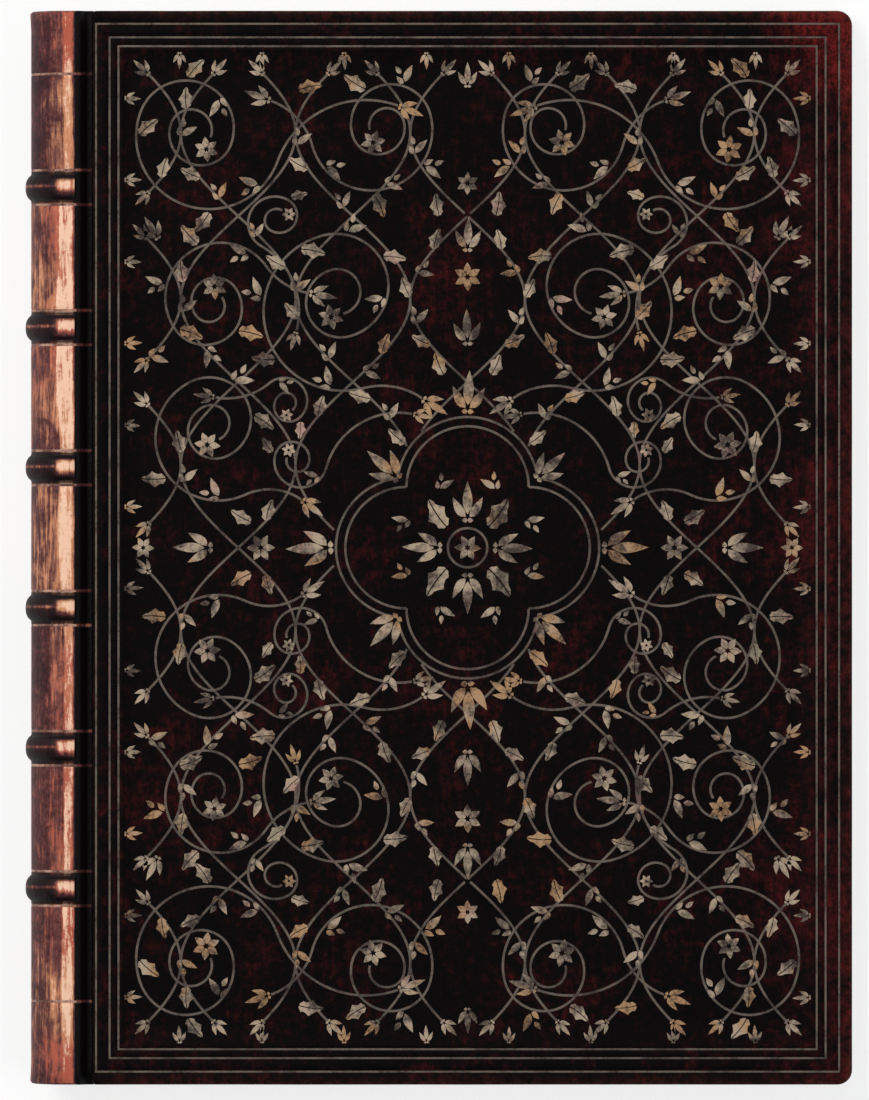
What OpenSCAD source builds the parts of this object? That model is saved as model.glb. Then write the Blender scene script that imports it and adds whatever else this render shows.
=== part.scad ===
// Lined notebook, case bound in leather: rounded spine with raised bands, two hinged covers,
// and a ruled text block. It lies on its back cover, spine towards -X, head towards +Y.

/* [Text block] */
// Number of leaves
leaf_count = 120; // [80:8:160]
// Thickness of one leaf
leaf_t = 0.14; // [0.1:0.01:0.15]
// How far the covers stand past the leaves at head, tail and fore-edge
square_w = 3; // [2.5:0.1:4]
// How far the back of the text block is flared out past its faces by the backing
flare_h = 0.7; // [0.3:0.1:0.7]
// Length of the slope that takes the flare back to the face of the block
flare_w = 2.2; // [1.5:0.1:3]
// Thickness of the cloth and paper lining on the back of the leaves
lining_t = 0.3; // [0.2:0.05:0.5]
// Radius of the bead of the headbands
headband_r = 1; // [0.6:0.1:1.2]

/* [Ruling] */
// Distance between two ruled lines
rule_pitch = 7.1; // [6:0.1:8.7]
// Width of a ruled line
rule_w = 0.3; // [0.2:0.05:0.5]
// Depth of the printed ink
ink_t = 0.04; // [0.02:0.01:0.08]
// Margin above the first ruled line
rule_head = 24; // [15:1:35]
// Margin below the last ruled line
rule_tail = 14; // [10:1:30]
// Margin at each end of a ruled line
rule_side = 9; // [5:1:15]

/* [Covers] */
// Height of the covered boards
board_h = 230; // [200:1:260]
// Width of a covered board, from the joint to the fore-edge
board_w = 162.8; // [150:0.1:190]
// Thickness of the greyboard
core_t = 2.3; // [2:0.1:3]
// Radius of the fore-edge corners
corner_r = 3.2; // [2.7:0.1:6]
// Rounding of the edges of a covered board
edge_r = 0.9; // [0.6:0.1:1.2]
// Thickness of the leather
leather_t = 0.5; // [0.4:0.05:0.6]
// Width of the leather turned in over the boards
turn_in = 15; // [10:1:20]
// Length of the leather turned in at head and tail of the spine
spine_turn_in = 12; // [8:1:16]
// Thickness of the endpapers
paper_t = 0.2; // [0.15:0.01:0.3]
// Gap between the pastedown and the edge of the leaves
paper_gap = 0.1; // [0.05:0.01:0.15]

/* [Spine] */
// Radius of the back of the spine
spine_r = 14; // [13.5:0.1:16]
// Radius of the spine's shoulders
shoulder_r = 3.5; // [3:0.1:4.5]
// Width of the flat land between shoulder and joint
land_w = 3.35; // [3:0.05:5]
// How far the land lies below the outer face of the boards
land_drop = 1; // [1:0.1:1.3]
// Thickness of the formed card under the spine leather
inlay_t = 0.8; // [0.5:0.1:0.8]
// Play between the turned-in leather and the lined text block
hollow = 0.3; // [0.2:0.05:0.6]
// Number of raised bands
band_count = 6; // [4:1:6]
// Distance of the first band from the head
head_panel = 37.8; // [30:0.1:45]
// Distance of the last band from the tail
tail_panel = 42; // [30:0.1:48]
// Width of a raised band
band_w = 5; // [4:0.1:6]
// Height of a raised band at the back of the spine
band_h = 1.2; // [0.9:0.1:1.4]
// Height of a raised band where it comes onto the land
band_land_h = 0.8; // [0.6:0.05:0.9]

/* [Joint] */
// Slope of the groove's side at the spine
groove_slope = 50; // [40:1:65]
// Radius where the land turns down into the groove
crest_r = 1.2; // [0.9:0.1:1.5]
// Radius where the groove's side meets its floor
root_r = 1; // [0.8:0.1:1.3]
// Width of the flat floor of the groove
floor_w = 0.68; // [0.4:0.02:2]

/* [Tooling] */
// Depth of the tooled lines, and of the pressed panel, below the face of the leather
tool_depth = 0.14; // [0.1:0.01:0.2]
// Thickness of the foil in the tooling
foil_t = 0.05; // [0.03:0.01:0.08]
// Width of a tooled line
line_w = 0.45; // [0.3:0.05:0.6]
// Distance of the outer fillet from the edge of the board
fillet_edge = 2.6; // [2:0.1:4]
// Distance of the outer fillet from the joint
fillet_joint = 1.6; // [1.3:0.1:3]
// Distance from the outer fillet to the second
fillet_gap = 2.9; // [2:0.1:4]
// Distance from the second fillet to the third
fillet_pair = 1.9; // [1.2:0.1:3]
// Distance from the third fillet to the pressed panel
panel_gap = 1; // [0.7:0.1:2]
// Distance of the spine's lines from the middle of a band
spine_line_off = 3.7; // [3.3:0.1:5]
// Distance of the line at the head from the end of the spine
head_line = 13.5; // [10:0.5:20]
// Distance of the line at the tail from the end of the spine
tail_line = 17.8; // [10:0.5:20]

/* [Hidden] */
$fn = 96;

// Thicknesses, all counted from the middle of the book
block_t = leaf_count * leaf_t;
block_half = block_t / 2;
inner_z = block_half + paper_gap;
cover_t = paper_t + leather_t + core_t + leather_t;
outer_z = inner_z + cover_t;
turn_in_z = inner_z + paper_t;
core_z = turn_in_z + leather_t;
spine_half = outer_z - land_drop;
head_y = board_h / 2;

// Outline of the spine as a path of arcs [radius, angle] and straights [length, 0]: the back and
// the shoulder, then the land, in a few steps so that the bands can come down to it
back_angle = asin((spine_half - shoulder_r) / (spine_r - shoulder_r));
fade_steps = 4;
fade_w = 0.7 * land_w;
spine_path = [[spine_r, back_angle], [shoulder_r, 90 - back_angle], [land_w - fade_w, 0],
              for (i = [1 : fade_steps]) [fade_w / fade_steps, 0]];

// Groove between spine and board, down to the leather's height over the endpaper
floor_z = block_half + paper_t + leather_t;
bends = (crest_r + root_r) * (1 - cos(groove_slope));
slope_len = (spine_half - floor_z - bends) / sin(groove_slope);
groove_path = [[crest_r, groove_slope], [slope_len, 0], [root_r, -groove_slope], [floor_w, 0]];
groove_w = (crest_r + root_r) * sin(groove_slope) + slope_len * cos(groove_slope) + floor_w;

shoulder_x = spine_r - (spine_r - shoulder_r) * cos(back_angle);
land_x = shoulder_x + land_w;
joint_x = land_x + groove_w;
joint_r = 2 * edge_r + 0.1;
fore_x = joint_x + board_w;

// Text block
leaf_h = board_h - 2 * square_w;
block_r = spine_r - leather_t - inlay_t - leather_t - hollow - lining_t;
leaf_w = fore_x - square_w - spine_r + sqrt(pow(block_r, 2) - pow(block_half, 2));
flare_half = block_half + flare_h;
flare_x = spine_r - sqrt(pow(block_r, 2) - pow(flare_half, 2)) + 0.4;

// Stations [point, heading] along a path, with its arcs in equal steps
arc_step = 12;
function normal(h) = [-sin(h), cos(h)];
function arc_stations(p, h, r, turn) = let (
        n = ceil(abs(turn) / arc_step),
        side = turn > 0 ? 1 : -1,
        c = p - side * r * normal(h))
    [for (i = [1 : n]) let (a = h - turn * i / n) [c + side * r * normal(a), a]];
function step_stations(at, leg) =
    leg[1] == 0 ? [[at[0] + leg[0] * [cos(at[1]), sin(at[1])], at[1]]]
                : arc_stations(at[0], at[1], leg[0], leg[1]);
function stations(path, at = [[0, 0], 90], i = 0) =
    i == len(path) ? [at] :
    let (next = step_stations(at, path[i]), last = len(next) - 1)
    concat([at], [for (k = [0 : 1 : last - 1]) next[k]], stations(path, next[last], i + 1));

// Points beside stations at a distance outwards, and closed outlines between two such distances
function beside(run, d) = [for (s = run) s[0] + d * normal(s[1])];
function backwards(list) = [for (i = [len(list) - 1 : -1 : 0]) list[i]];
function both_halves(points) = concat(
    [for (i = [len(points) - 1 : -1 : 1]) points[i]], [for (p = points) [p[0], -p[1]]]);
function shell(d0, d1) = concat(
    both_halves(beside(spine_run, d0)), backwards(both_halves(beside(spine_run, d1))));

spine_run = stations(spine_path);
joint_run = stations(groove_path, [[land_x, spine_half], 0]);

// Raised bands: places along the spine, and the rise and half width at the points of a band's crown
band_pitch = (board_h - head_panel - tail_panel) / (band_count - 1);
band_y = [for (i = [0 : band_count - 1]) head_y - head_panel - i * band_pitch];
crown_sides = 6;
crown = [for (k = [0 : crown_sides]) [sin(180 * k / crown_sides), cos(180 * k / crown_sides)]];
strip_half = band_w / 2 - leather_t;
spine_line_y = concat(
    [for (y = band_y, s = [-1, 1]) y + s * spine_line_off], [head_y - head_line, tail_line - head_y]);

// Frames of the tooling on a board
fillet_steps = [0, fillet_gap, fillet_gap + fillet_pair];
panel_step = fillet_gap + fillet_pair + line_w + panel_gap;
panel_half = [(board_w - fillet_joint - fillet_edge) / 2 - panel_step, head_y - fillet_edge - panel_step];
panel_centre = (joint_x + fillet_joint + fore_x - fillet_edge) / 2;

// Tooled design of the front, drawn for a panel of this half size. A quarter's scrolls are given as
// x, y, radius, start angle, turn, half turns, leaves, stem radius and stem angle, its loose leaves
// as x, y, angle and size, and the leaves on the middle lines as place and size.
design_half = [73.05, 106.15];
scrolls = [
    [55, 88, 15.5, 200, 1, 4, 7, 20, 90],
    [20.5, 89.5, 13, 345, -1, 4, 6, 14, 55],
    [52.5, 53.5, 11.8, 145, -1, 4, 6, 14, 45],
    [53, 23.5, 13.4, 245, 1, 4, 6, 12, 60],
    [26.5, 50.5, 16.9, 255, 1, 4, 7, 15, 50],
    [35.5, 18.5, 5.6, 195, 1, 3, 2, 16, 85],
    [39, 31.5, 4.9, 50, 1, 3, 2, 14, 50],
    [41, 69.5, 5.7, 300, 1, 3, 2, 16, 75]];
loose_leaves = [[66, 66.5, 60, 5], [36, 98, 160, 5], [6, 71, 70, 5], [5, 37, 60, 5], [46, 5.5, 20, 5]];
head_axis = [[44, 7], [64, 7], [99, 5]];
side_axis = [[55, 8]];
lobe_off = 13;
lobe_outer = 15;
lobe_meet = (lobe_off + sqrt(2 * pow(lobe_outer, 2) - pow(lobe_off, 2))) / 2;

// Puts a shape drawn in the plane of the spine's section, with +Z along the spine, into the book
module upright() {
    rotate([-90, 0, 0]) children();
}

// A prism of the spine's section, between two heights along the spine
module prism(points, y0, y1) {
    translate([0, y0, 0]) upright() linear_extrude(y1 - y0) polygon(points);
}

// A shape of the book on the front, or mirrored to the back
module on_side(side) {
    mirror([0, 0, side == "back" ? 1 : 0]) children();
}

// The part's own frame: centred on its box, lying on the back cover
module place() {
    translate([(band_h - fore_x) / 2, 0, outer_z]) children();
}

module back_disc(r) {
    translate([spine_r, 0]) circle(r);
}

// Section of the leaves: rounded and flared at the back, hollow at the fore-edge
module block_section() {
    fore = spine_r + leaf_w;
    edge = flare_x + flare_w;
    difference() {
        polygon([[0, flare_half], [flare_x, flare_half], [edge, block_half], [fore, block_half],
                 [fore, -block_half], [edge, -block_half], [flare_x, -flare_half], [0, -flare_half]]);
        difference() {
            translate([-1, -spine_r]) square([spine_r + 1, 2 * spine_r]);
            back_disc(block_r);
        }
        translate([fore, 0]) circle(block_r);
    }
}

// Ruled lines on the first page, down from a height by the depth of the ink
module rules(h) {
    x0 = flare_x + flare_w + rule_side;
    x1 = fore_x - square_w - rule_side;
    top = leaf_h / 2 - rule_head;
    count = floor((leaf_h - rule_head - rule_tail) / rule_pitch) + 1;
    for (i = [0 : count - 1])
        translate([x0, top - i * rule_pitch - rule_w / 2, block_half - ink_t]) cube([x1 - x0, rule_w, h]);
}

module text_block() {
    color("ivory") difference() {
        upright() linear_extrude(leaf_h, center = true) block_section();
        for (side = ["front", "back"]) on_side(side) rules(1);
    }
}

module page_ruling(side) {
    color("slategray") on_side(side) rules(ink_t);
}

module spine_lining() {
    color("wheat") upright() linear_extrude(leaf_h, center = true) intersection() {
        difference() {
            back_disc(block_r + lining_t);
            back_disc(block_r);
        }
        translate([0, -flare_half]) square([spine_r, 2 * flare_half]);
    }
}

// A bead that sits on the ends of the leaves, flat underneath
module headband(end) {
    bead_r = block_r + lining_t - headband_r;
    reach = asin((flare_half - headband_r) / bead_r);
    seat = 0.6 * headband_r;
    color("goldenrod") mirror([0, end < 0 ? 1 : 0, 0])
        translate([spine_r, leaf_h / 2, 0]) rotate([90, 0, 0]) mirror([0, 0, 1])
        rotate_extrude(start = 180 - reach, angle = 2 * reach) intersection() {
            translate([bead_r, seat]) circle(headband_r);
            square([2 * bead_r, 2 * headband_r]);
        }
}

module endpaper_hinge(side) {
    color("antiquewhite") on_side(side)
        translate([land_x, -leaf_h / 2, block_half]) cube([joint_x - land_x, leaf_h, paper_t]);
}

// Formed card under the leather of the spine
module spine_inlay() {
    y1 = head_y - leather_t;
    color("tan") prism(shell(-leather_t, -leather_t - inlay_t), -y1, y1);
}

// Rise of a band at a station of the spine: less towards the land, and down to nothing at its end
spine_steps = len(spine_run) - 1;
function band_rise(i) = let (on_back = spine_steps - fade_steps, left = (spine_steps - i) / fade_steps)
    i <= on_back ? band_h + (band_land_h - band_h) * pow(i / on_back, 2)
                 : band_land_h * sqrt(1 - pow(1 - left, 2));

// Joins rings of [distance outwards, height along the spine] points, one ring for each station from
// the back on, into one solid round the spine. A ring has its outer points first, from head to tail,
// then as many inner ones back to the head.
module round_spine(rings) {
    last = len(rings) - 1;
    ring = len(rings[0]);
    half = concat([for (i = [last : -1 : 1]) [i, 1]], [for (i = [0 : last]) [i, -1]]);
    points = [for (s = half, q = rings[s[0]]) let (
            at = spine_run[s[0]],
            p = at[0] + q[0] * normal(at[1]))
        [p[0], q[1], s[1] * p[1]]];
    end = (len(half) - 1) * ring;
    walls = [for (i = [0 : len(half) - 2], k = [0 : ring - 1]) let (
            a = i * ring + k,
            b = i * ring + (k + 1) % ring)
        each [[a, b + ring, a + ring], [a, b, b + ring]]];
    caps = [for (k = [0 : ring / 2 - 2]) let (m = ring - 1 - k)
        each [[k, m - 1, k + 1], [k, m, m - 1],
              [end + k, end + k + 1, end + m - 1], [end + k, end + m - 1, end + m]]];
    polyhedron(points, concat(walls, caps));
}

// The strip inside a band, from the card up to the leather, blunt where the band fades out
module raised_band(y) {
    rings = [for (i = [0 : spine_steps - 1]) concat(
        [for (k = [1 : crown_sides - 1])
            [band_rise(i) * crown[k][0] - leather_t, y + strip_half * crown[k][1]]],
        [for (k = [crown_sides - 1 : -1 : 1]) [-leather_t, y + strip_half * crown[k][1]]])];
    color("tan") round_spine(rings);
}

// The leather over the card and the strips
module spine_skin() {
    rings = [for (i = [0 : spine_steps]) let (rise = band_rise(i)) concat(
        [[0, head_y]],
        [for (y = band_y, c = crown) [rise * c[0], y + band_w / 2 * c[1]]],
        [[0, -head_y], [-leather_t, -head_y]],
        backwards([for (y = band_y, c = crown)
            [rise * c[0] - leather_t, y + (c[0] < 0.1 ? band_w / 2 : strip_half) * c[1]]]),
        [[-leather_t, head_y]])];
    round_spine(rings);
}

// Leather on the spine: over the raised bands, down into the joints, and folded in over the card
module spine_covering() {
    fold = leather_t + inlay_t + leather_t;
    joint = concat(beside(joint_run, 0), backwards(beside(joint_run, -leather_t)));
    color("saddlebrown") {
        spine_skin();
        for (s = [0, 1]) {
            mirror([0, 0, 1 - s]) prism(joint, -head_y, head_y);
            mirror([0, s, 0]) {
                prism(shell(-leather_t, -fold), head_y - leather_t, head_y);
                prism(shell(leather_t - fold, -fold), head_y - spine_turn_in, head_y - leather_t);
            }
        }
    }
}

module spine_fillets() {
    color("tan") for (y = spine_line_y) prism(shell(foil_t, 0), y - line_w / 2, y + line_w / 2);
}

// Outline of a covered board, inset by a distance
module board_outline(inset) {
    x = [joint_x + inset, fore_x - inset];
    y = head_y - inset;
    r = [max(joint_r - inset, 0.1), max(corner_r - inset, 0.1)];
    translate([x[0] + r[0], -y]) square([x[1] - r[1] - x[0] - r[0], 2 * y]);
    for (i = [0, 1]) {
        translate([i == 0 ? x[0] : x[1] - r[1], r[i] - y]) square([r[i], 2 * (y - r[i])]);
        for (s = [-1, 1]) translate([i == 0 ? x[0] + r[0] : x[1] - r[1], s * (y - r[i])]) circle(r[i]);
    }
}

// Section of a covered board's edge, with the edge at X = 0 and the thickness along Y:
// rounded on the outside and eased on the inside
module edge_section() {
    t = leather_t + core_t + leather_t;
    ease = edge_r / 2;
    translate([-2 * edge_r, 0]) square([edge_r, t]);
    translate([-2 * edge_r, ease]) square([2 * edge_r, t - edge_r - ease]);
    translate([-edge_r, t - edge_r]) circle(edge_r);
    translate([-edge_r, 0]) square([edge_r - ease, t / 2]);
    translate([-ease, ease]) circle(ease);
}

// A straight edge from a corner's end, at a turn from the fore-edge's direction
module straight_edge(at, turn, length) {
    translate(at) rotate([0, 0, turn]) translate([0, length, 0]) rotate([90, 0, 0])
        linear_extrude(length) edge_section();
}

module round_edge(centre, turn, r) {
    translate(centre) rotate([0, 0, turn]) rotate_extrude(angle = 90) translate([r, 0]) edge_section();
}

module covered_board() {
    wide = board_w - corner_r - joint_r;
    translate([0, 0, turn_in_z]) {
        linear_extrude(leather_t + core_t + leather_t) board_outline(1.5 * edge_r);
        straight_edge([fore_x, corner_r - head_y], 0, board_h - 2 * corner_r);
        round_edge([fore_x - corner_r, head_y - corner_r], 0, corner_r);
        straight_edge([fore_x - corner_r, head_y], 90, wide);
        round_edge([joint_x + joint_r, head_y - joint_r], 90, joint_r);
        straight_edge([joint_x, head_y - joint_r], 180, board_h - 2 * joint_r);
        round_edge([joint_x + joint_r, joint_r - head_y], 180, joint_r);
        straight_edge([joint_x + joint_r, -head_y], 270, wide);
        round_edge([fore_x - corner_r, corner_r - head_y], 270, corner_r);
    }
}

module board_core() {
    translate([0, 0, core_z]) linear_extrude(core_t) board_outline(leather_t);
}

module board(side) {
    color("darkkhaki") on_side(side) board_core();
}

// Room between the turned-in edges on the inside of a board, inset by a distance
module turn_in_room(inset, z0, z1) {
    x0 = joint_x + leather_t + inset;
    x1 = fore_x - turn_in - inset;
    y1 = head_y - turn_in - inset;
    translate([x0, -y1, z0]) cube([x1 - x0, 2 * y1, z1 - z0]);
}

// A frame of line_w round a board, a step in from the outer fillet
module fillet_frame(step) {
    x0 = joint_x + fillet_joint + step;
    x1 = fore_x - fillet_edge - step;
    y1 = head_y - fillet_edge - step;
    difference() {
        translate([x0, -y1]) square([x1 - x0, 2 * y1]);
        translate([x0 + line_w, line_w - y1]) square([x1 - x0 - 2 * line_w, 2 * (y1 - line_w)]);
    }
}

module fillets(h) {
    translate([0, 0, outer_z - tool_depth]) linear_extrude(h)
        for (step = fillet_steps) fillet_frame(step);
}

module board_fillets(side) {
    color("tan") on_side(side) fillets(foil_t);
}

// Leather round a board. On the front the panel inside the fillets is pressed in.
module covering(side) {
    color("saddlebrown") on_side(side) difference() {
        covered_board();
        board_core();
        turn_in_room(0, turn_in_z - 1, core_z);
        fillets(2 * tool_depth);
        if (side == "front")
            translate([panel_centre - panel_half[0], -panel_half[1], outer_z - tool_depth])
                cube([2 * panel_half[0], 2 * panel_half[1], 2 * tool_depth]);
    }
}

// Endpaper on the inside of a board, pressed down between the turned-in edges
module pastedown(side) {
    color("antiquewhite") on_side(side) difference() {
        union() {
            translate([joint_x, -leaf_h / 2, inner_z]) cube([board_w - square_w, leaf_h, paper_t]);
            turn_in_room(0, inner_z, core_z);
        }
        turn_in_room(paper_t, inner_z - 1, core_z - paper_t);
    }
}

// Stroke of a gouge: an arc of foil about a centre, between two angles
module gouge(centre, r, from, to) {
    translate(centre) rotate_extrude(start = min(from, to), angle = abs(to - from))
        translate([r - line_w / 2, 0]) square([line_w, foil_t]);
}

// A leaf stamp with its foot at a point, pointing at an angle
module leaf(foot, angle, size) {
    r = 0.8 * size;
    lean = 0.57 * size;
    translate(foot) rotate([0, 0, angle]) linear_extrude(foil_t) intersection() {
        translate([size / 2, lean]) circle(r);
        translate([size / 2, -lean]) circle(r);
    }
}

module flower(centre, size) {
    translate(centre) linear_extrude(foil_t) circle(0.42 * size);
}

function ray(r, a) = [r * cos(a), r * sin(a)];

// A scroll of shrinking half circles on a curved stem, with leaves round its outside, a bud at the
// stem's foot and a flower at its end
module scroll(centre, r, start, turn, halves, leaves, stem_r, stem_angle, k) {
    shrink = 0.66;
    gap = 2;
    function drift(i) = r * (1 - shrink) / (1 + shrink) * (pow(-shrink, i) - 1);
    stem_at = centre + ray(r + stem_r, start);
    foot_at = start + 180 + turn * stem_angle;
    gouge(stem_at, stem_r, start + 180 + turn * gap, foot_at);
    leaf(stem_at + ray(stem_r, foot_at) + ray(0.7 * k, start + turn * (stem_angle - 90)),
         start + turn * (stem_angle - 90), (r > 9 * k ? 5.5 : 4) * k);
    for (i = [0 : halves - 1]) {
        a = start + turn * 180 * i;
        gouge(centre + ray(drift(i), start), r * pow(shrink, i), a + turn * gap, a + turn * (180 - gap));
    }
    last = start + turn * 180 * halves;
    size = (r > 9 * k ? 4.6 : 2.4) * k;
    flower(centre + ray(drift(halves - 1), start) + ray(r * pow(shrink, halves - 1), last)
        + ray(size / 2 + 0.45 * k, last + turn * 90), size);
    for (i = [0 : 1 : leaves - 1]) if (i % 3 > 0) let (a = 24 + 320 * i / leaves, half = a < 180 ? 0 : 1) {
        leaf(centre + ray(drift(half), start) + ray(r * pow(shrink, half) + 0.75 * k, start + turn * a),
             start + turn * (a + 28), (r > 9 * k ? 4.6 : 3.4) * k);
    }
}

// Tooled design in the pressed panel: a lobed medallion between scrolls, the same in each quarter
module ornament() {
    fit = [panel_half[0] / design_half[0], panel_half[1] / design_half[1]];
    k = min(fit);
    lobe_end = atan2(lobe_meet, lobe_meet - lobe_off) - 3;
    color("tan") translate([panel_centre, 0, outer_z - tool_depth]) {
        gouge([0, 0], 4.2 * k, 0, 360);
        flower([0, 0], 6 * k);
        for (i = [0 : 3]) {
            gouge(ray(lobe_off * k, 90 * i), lobe_off * k, 90 * i - 87, 90 * i + 87);
            gouge(ray(lobe_off * k, 90 * i), lobe_outer * k, 90 * i - lobe_end, 90 * i + lobe_end);
            leaf(ray(6.2 * k, 90 * i), 90 * i, 8 * k);
            leaf(ray(6.2 * k, 90 * i + 45), 90 * i + 45, 7.2 * k);
            leaf(ray(29.5 * k, 90 * i), 90 * i, 9 * k);
            leaf(ray(21.4 * k, 90 * i + 45), 90 * i + 45, 8 * k);
        }
        for (s = [-1, 1]) {
            for (m = head_axis) leaf([0, s * m[0] * fit[1]], s * 90, m[1] * k);
            for (m = side_axis) leaf([s * m[0] * fit[0], 0], 90 - s * 90, m[1] * k);
        }
        for (mx = [0, 1], my = [0, 1]) mirror([mx, 0, 0]) mirror([0, my, 0]) {
            for (m = scrolls) scroll([m[0] * fit[0], m[1] * fit[1]], m[2] * k, m[3], m[4], m[5], m[6], m[7] * k, m[8], k);
            for (m = loose_leaves) leaf([m[0] * fit[0], m[1] * fit[1]], m[2], m[3] * k);
        }
    }
}

place() {
    text_block();
    page_ruling("front");  // first_page_ruling
    page_ruling("back");  // last_page_ruling
    spine_lining();
    headband(1);  // head_band
    headband(-1);  // tail_band
    endpaper_hinge("front");  // front_endpaper_hinge
    endpaper_hinge("back");  // back_endpaper_hinge
    spine_inlay();
    for (i = [1 : band_count])
        raised_band(band_y[i - 1]);
    spine_covering();
    spine_fillets();
    board("front");  // front_board
    covering("front");  // front_covering
    pastedown("front");  // front_pastedown
    board_fillets("front");  // front_fillets
    ornament();  // front_ornament
    board("back");  // back_board
    covering("back");  // back_covering
    pastedown("back");  // back_pastedown
    board_fillets("back");  // back_fillets
}
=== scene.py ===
import math

import bmesh
import bpy
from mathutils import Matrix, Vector, noise


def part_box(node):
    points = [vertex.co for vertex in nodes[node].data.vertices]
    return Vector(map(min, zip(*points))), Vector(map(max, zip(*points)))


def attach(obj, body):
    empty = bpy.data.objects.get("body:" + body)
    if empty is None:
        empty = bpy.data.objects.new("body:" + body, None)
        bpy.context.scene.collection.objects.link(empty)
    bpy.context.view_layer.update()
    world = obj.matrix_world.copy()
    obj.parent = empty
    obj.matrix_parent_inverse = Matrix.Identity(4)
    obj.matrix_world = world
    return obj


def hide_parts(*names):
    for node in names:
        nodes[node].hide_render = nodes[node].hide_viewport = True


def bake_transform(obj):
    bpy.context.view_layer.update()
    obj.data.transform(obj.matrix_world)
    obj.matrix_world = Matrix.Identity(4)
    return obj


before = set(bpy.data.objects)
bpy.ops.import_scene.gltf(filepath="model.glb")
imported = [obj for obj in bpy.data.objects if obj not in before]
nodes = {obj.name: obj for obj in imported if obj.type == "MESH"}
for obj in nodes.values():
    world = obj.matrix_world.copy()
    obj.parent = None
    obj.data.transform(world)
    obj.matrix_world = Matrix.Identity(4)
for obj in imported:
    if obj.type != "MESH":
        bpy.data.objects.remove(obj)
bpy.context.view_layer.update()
mm = 0.001

# Places are worked out in the book's own section, in mm: x from the back of the spine, y along it
# to the head, z from mid thickness to the front. The two covers are mirror images.
coverLow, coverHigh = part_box("front_covering")
inlayLow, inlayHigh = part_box("spine_inlay")
blockLow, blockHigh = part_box("text_block")
leatherThick = 0.5
spineLeft = inlayLow.x / mm - leatherThick
midZ = (inlayLow.z + inlayHigh.z) / 2 / mm
headY = coverHigh.y / mm
jointX = coverLow.x / mm - spineLeft
foreX = coverHigh.x / mm - spineLeft
outerZ = coverHigh.z / mm - midZ
turnInZ = coverLow.z / mm - midZ
spineHalf = inlayHigh.z / mm - midZ + leatherThick
landX = inlayHigh.x / mm - spineLeft
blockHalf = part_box("first_page_ruling")[1].z / mm - midZ
blockFore = blockHigh.x / mm - spineLeft
flareHalf = blockHigh.z / mm - midZ
leafHalf = blockHigh.y / mm
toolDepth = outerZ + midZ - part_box("front_fillets")[0].z / mm


def place(x, y, z):
    return Vector(((x + spineLeft) * mm, y * mm, (z + midZ) * mm))


def smooth(low, high, value):
    t = min(max((value - low) / (high - low), 0), 1)
    return t * t * (3 - 2 * t)


def spread(low, high, count):
    return [low + (high - low) * i / (count - 1) for i in range(count)]


def ray(degrees, length=1.0):
    return length * math.cos(math.radians(degrees)), length * math.sin(math.radians(degrees))


def around(cx, cy, r, degrees):
    # the point at that angle on a circle
    x, y = ray(degrees, r)
    return cx + x, cy + y


def ripple(x, y, z, size):
    # soft unevenness between 0 and 1
    return min(max(0.5 + 0.5 * noise.noise(Vector((x / size, y / size, z / size))), 0), 1)


# Meshes

def meshObject(name, points, faces, edges=()):
    mesh = bpy.data.meshes.new(name)
    mesh.from_pydata(points, list(edges), faces)
    mesh.polygons.foreach_set("use_smooth", [True] * len(mesh.polygons))
    mesh.update()
    thing = bpy.data.objects.new(name, mesh)
    bpy.context.scene.collection.objects.link(thing)
    return thing


def facedOut(thing):
    work = bmesh.new()
    work.from_mesh(thing.data)
    bmesh.ops.recalc_face_normals(work, faces=work.faces)
    work.to_mesh(thing.data)
    work.free()
    return thing


def closedShell(name, points, faces):
    return facedOut(meshObject(name, points, faces))


def pointValues(thing, name, values):
    thing.data.attributes.new(name, "FLOAT", "POINT").data.foreach_set("value", values)


def tubeFaces(ringCount, ringSize):
    # quads round closed rings that follow one another, and a face over each end
    faces = [(i * ringSize + k, i * ringSize + (k + 1) % ringSize,
              (i + 1) * ringSize + (k + 1) % ringSize, (i + 1) * ringSize + k)
             for i in range(ringCount - 1) for k in range(ringSize)]
    faces.append(tuple(range(ringSize)))
    faces.append(tuple(range((ringCount - 1) * ringSize, ringCount * ringSize)))
    return faces


def finishPiece(thing, material, standsFor=(), body=None):
    if material:
        thing.data.materials.clear()
        thing.data.materials.append(material)
    if body:
        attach(thing, body)
    if standsFor:
        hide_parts(*standsFor)
    return thing


# Geometry Nodes

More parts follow.
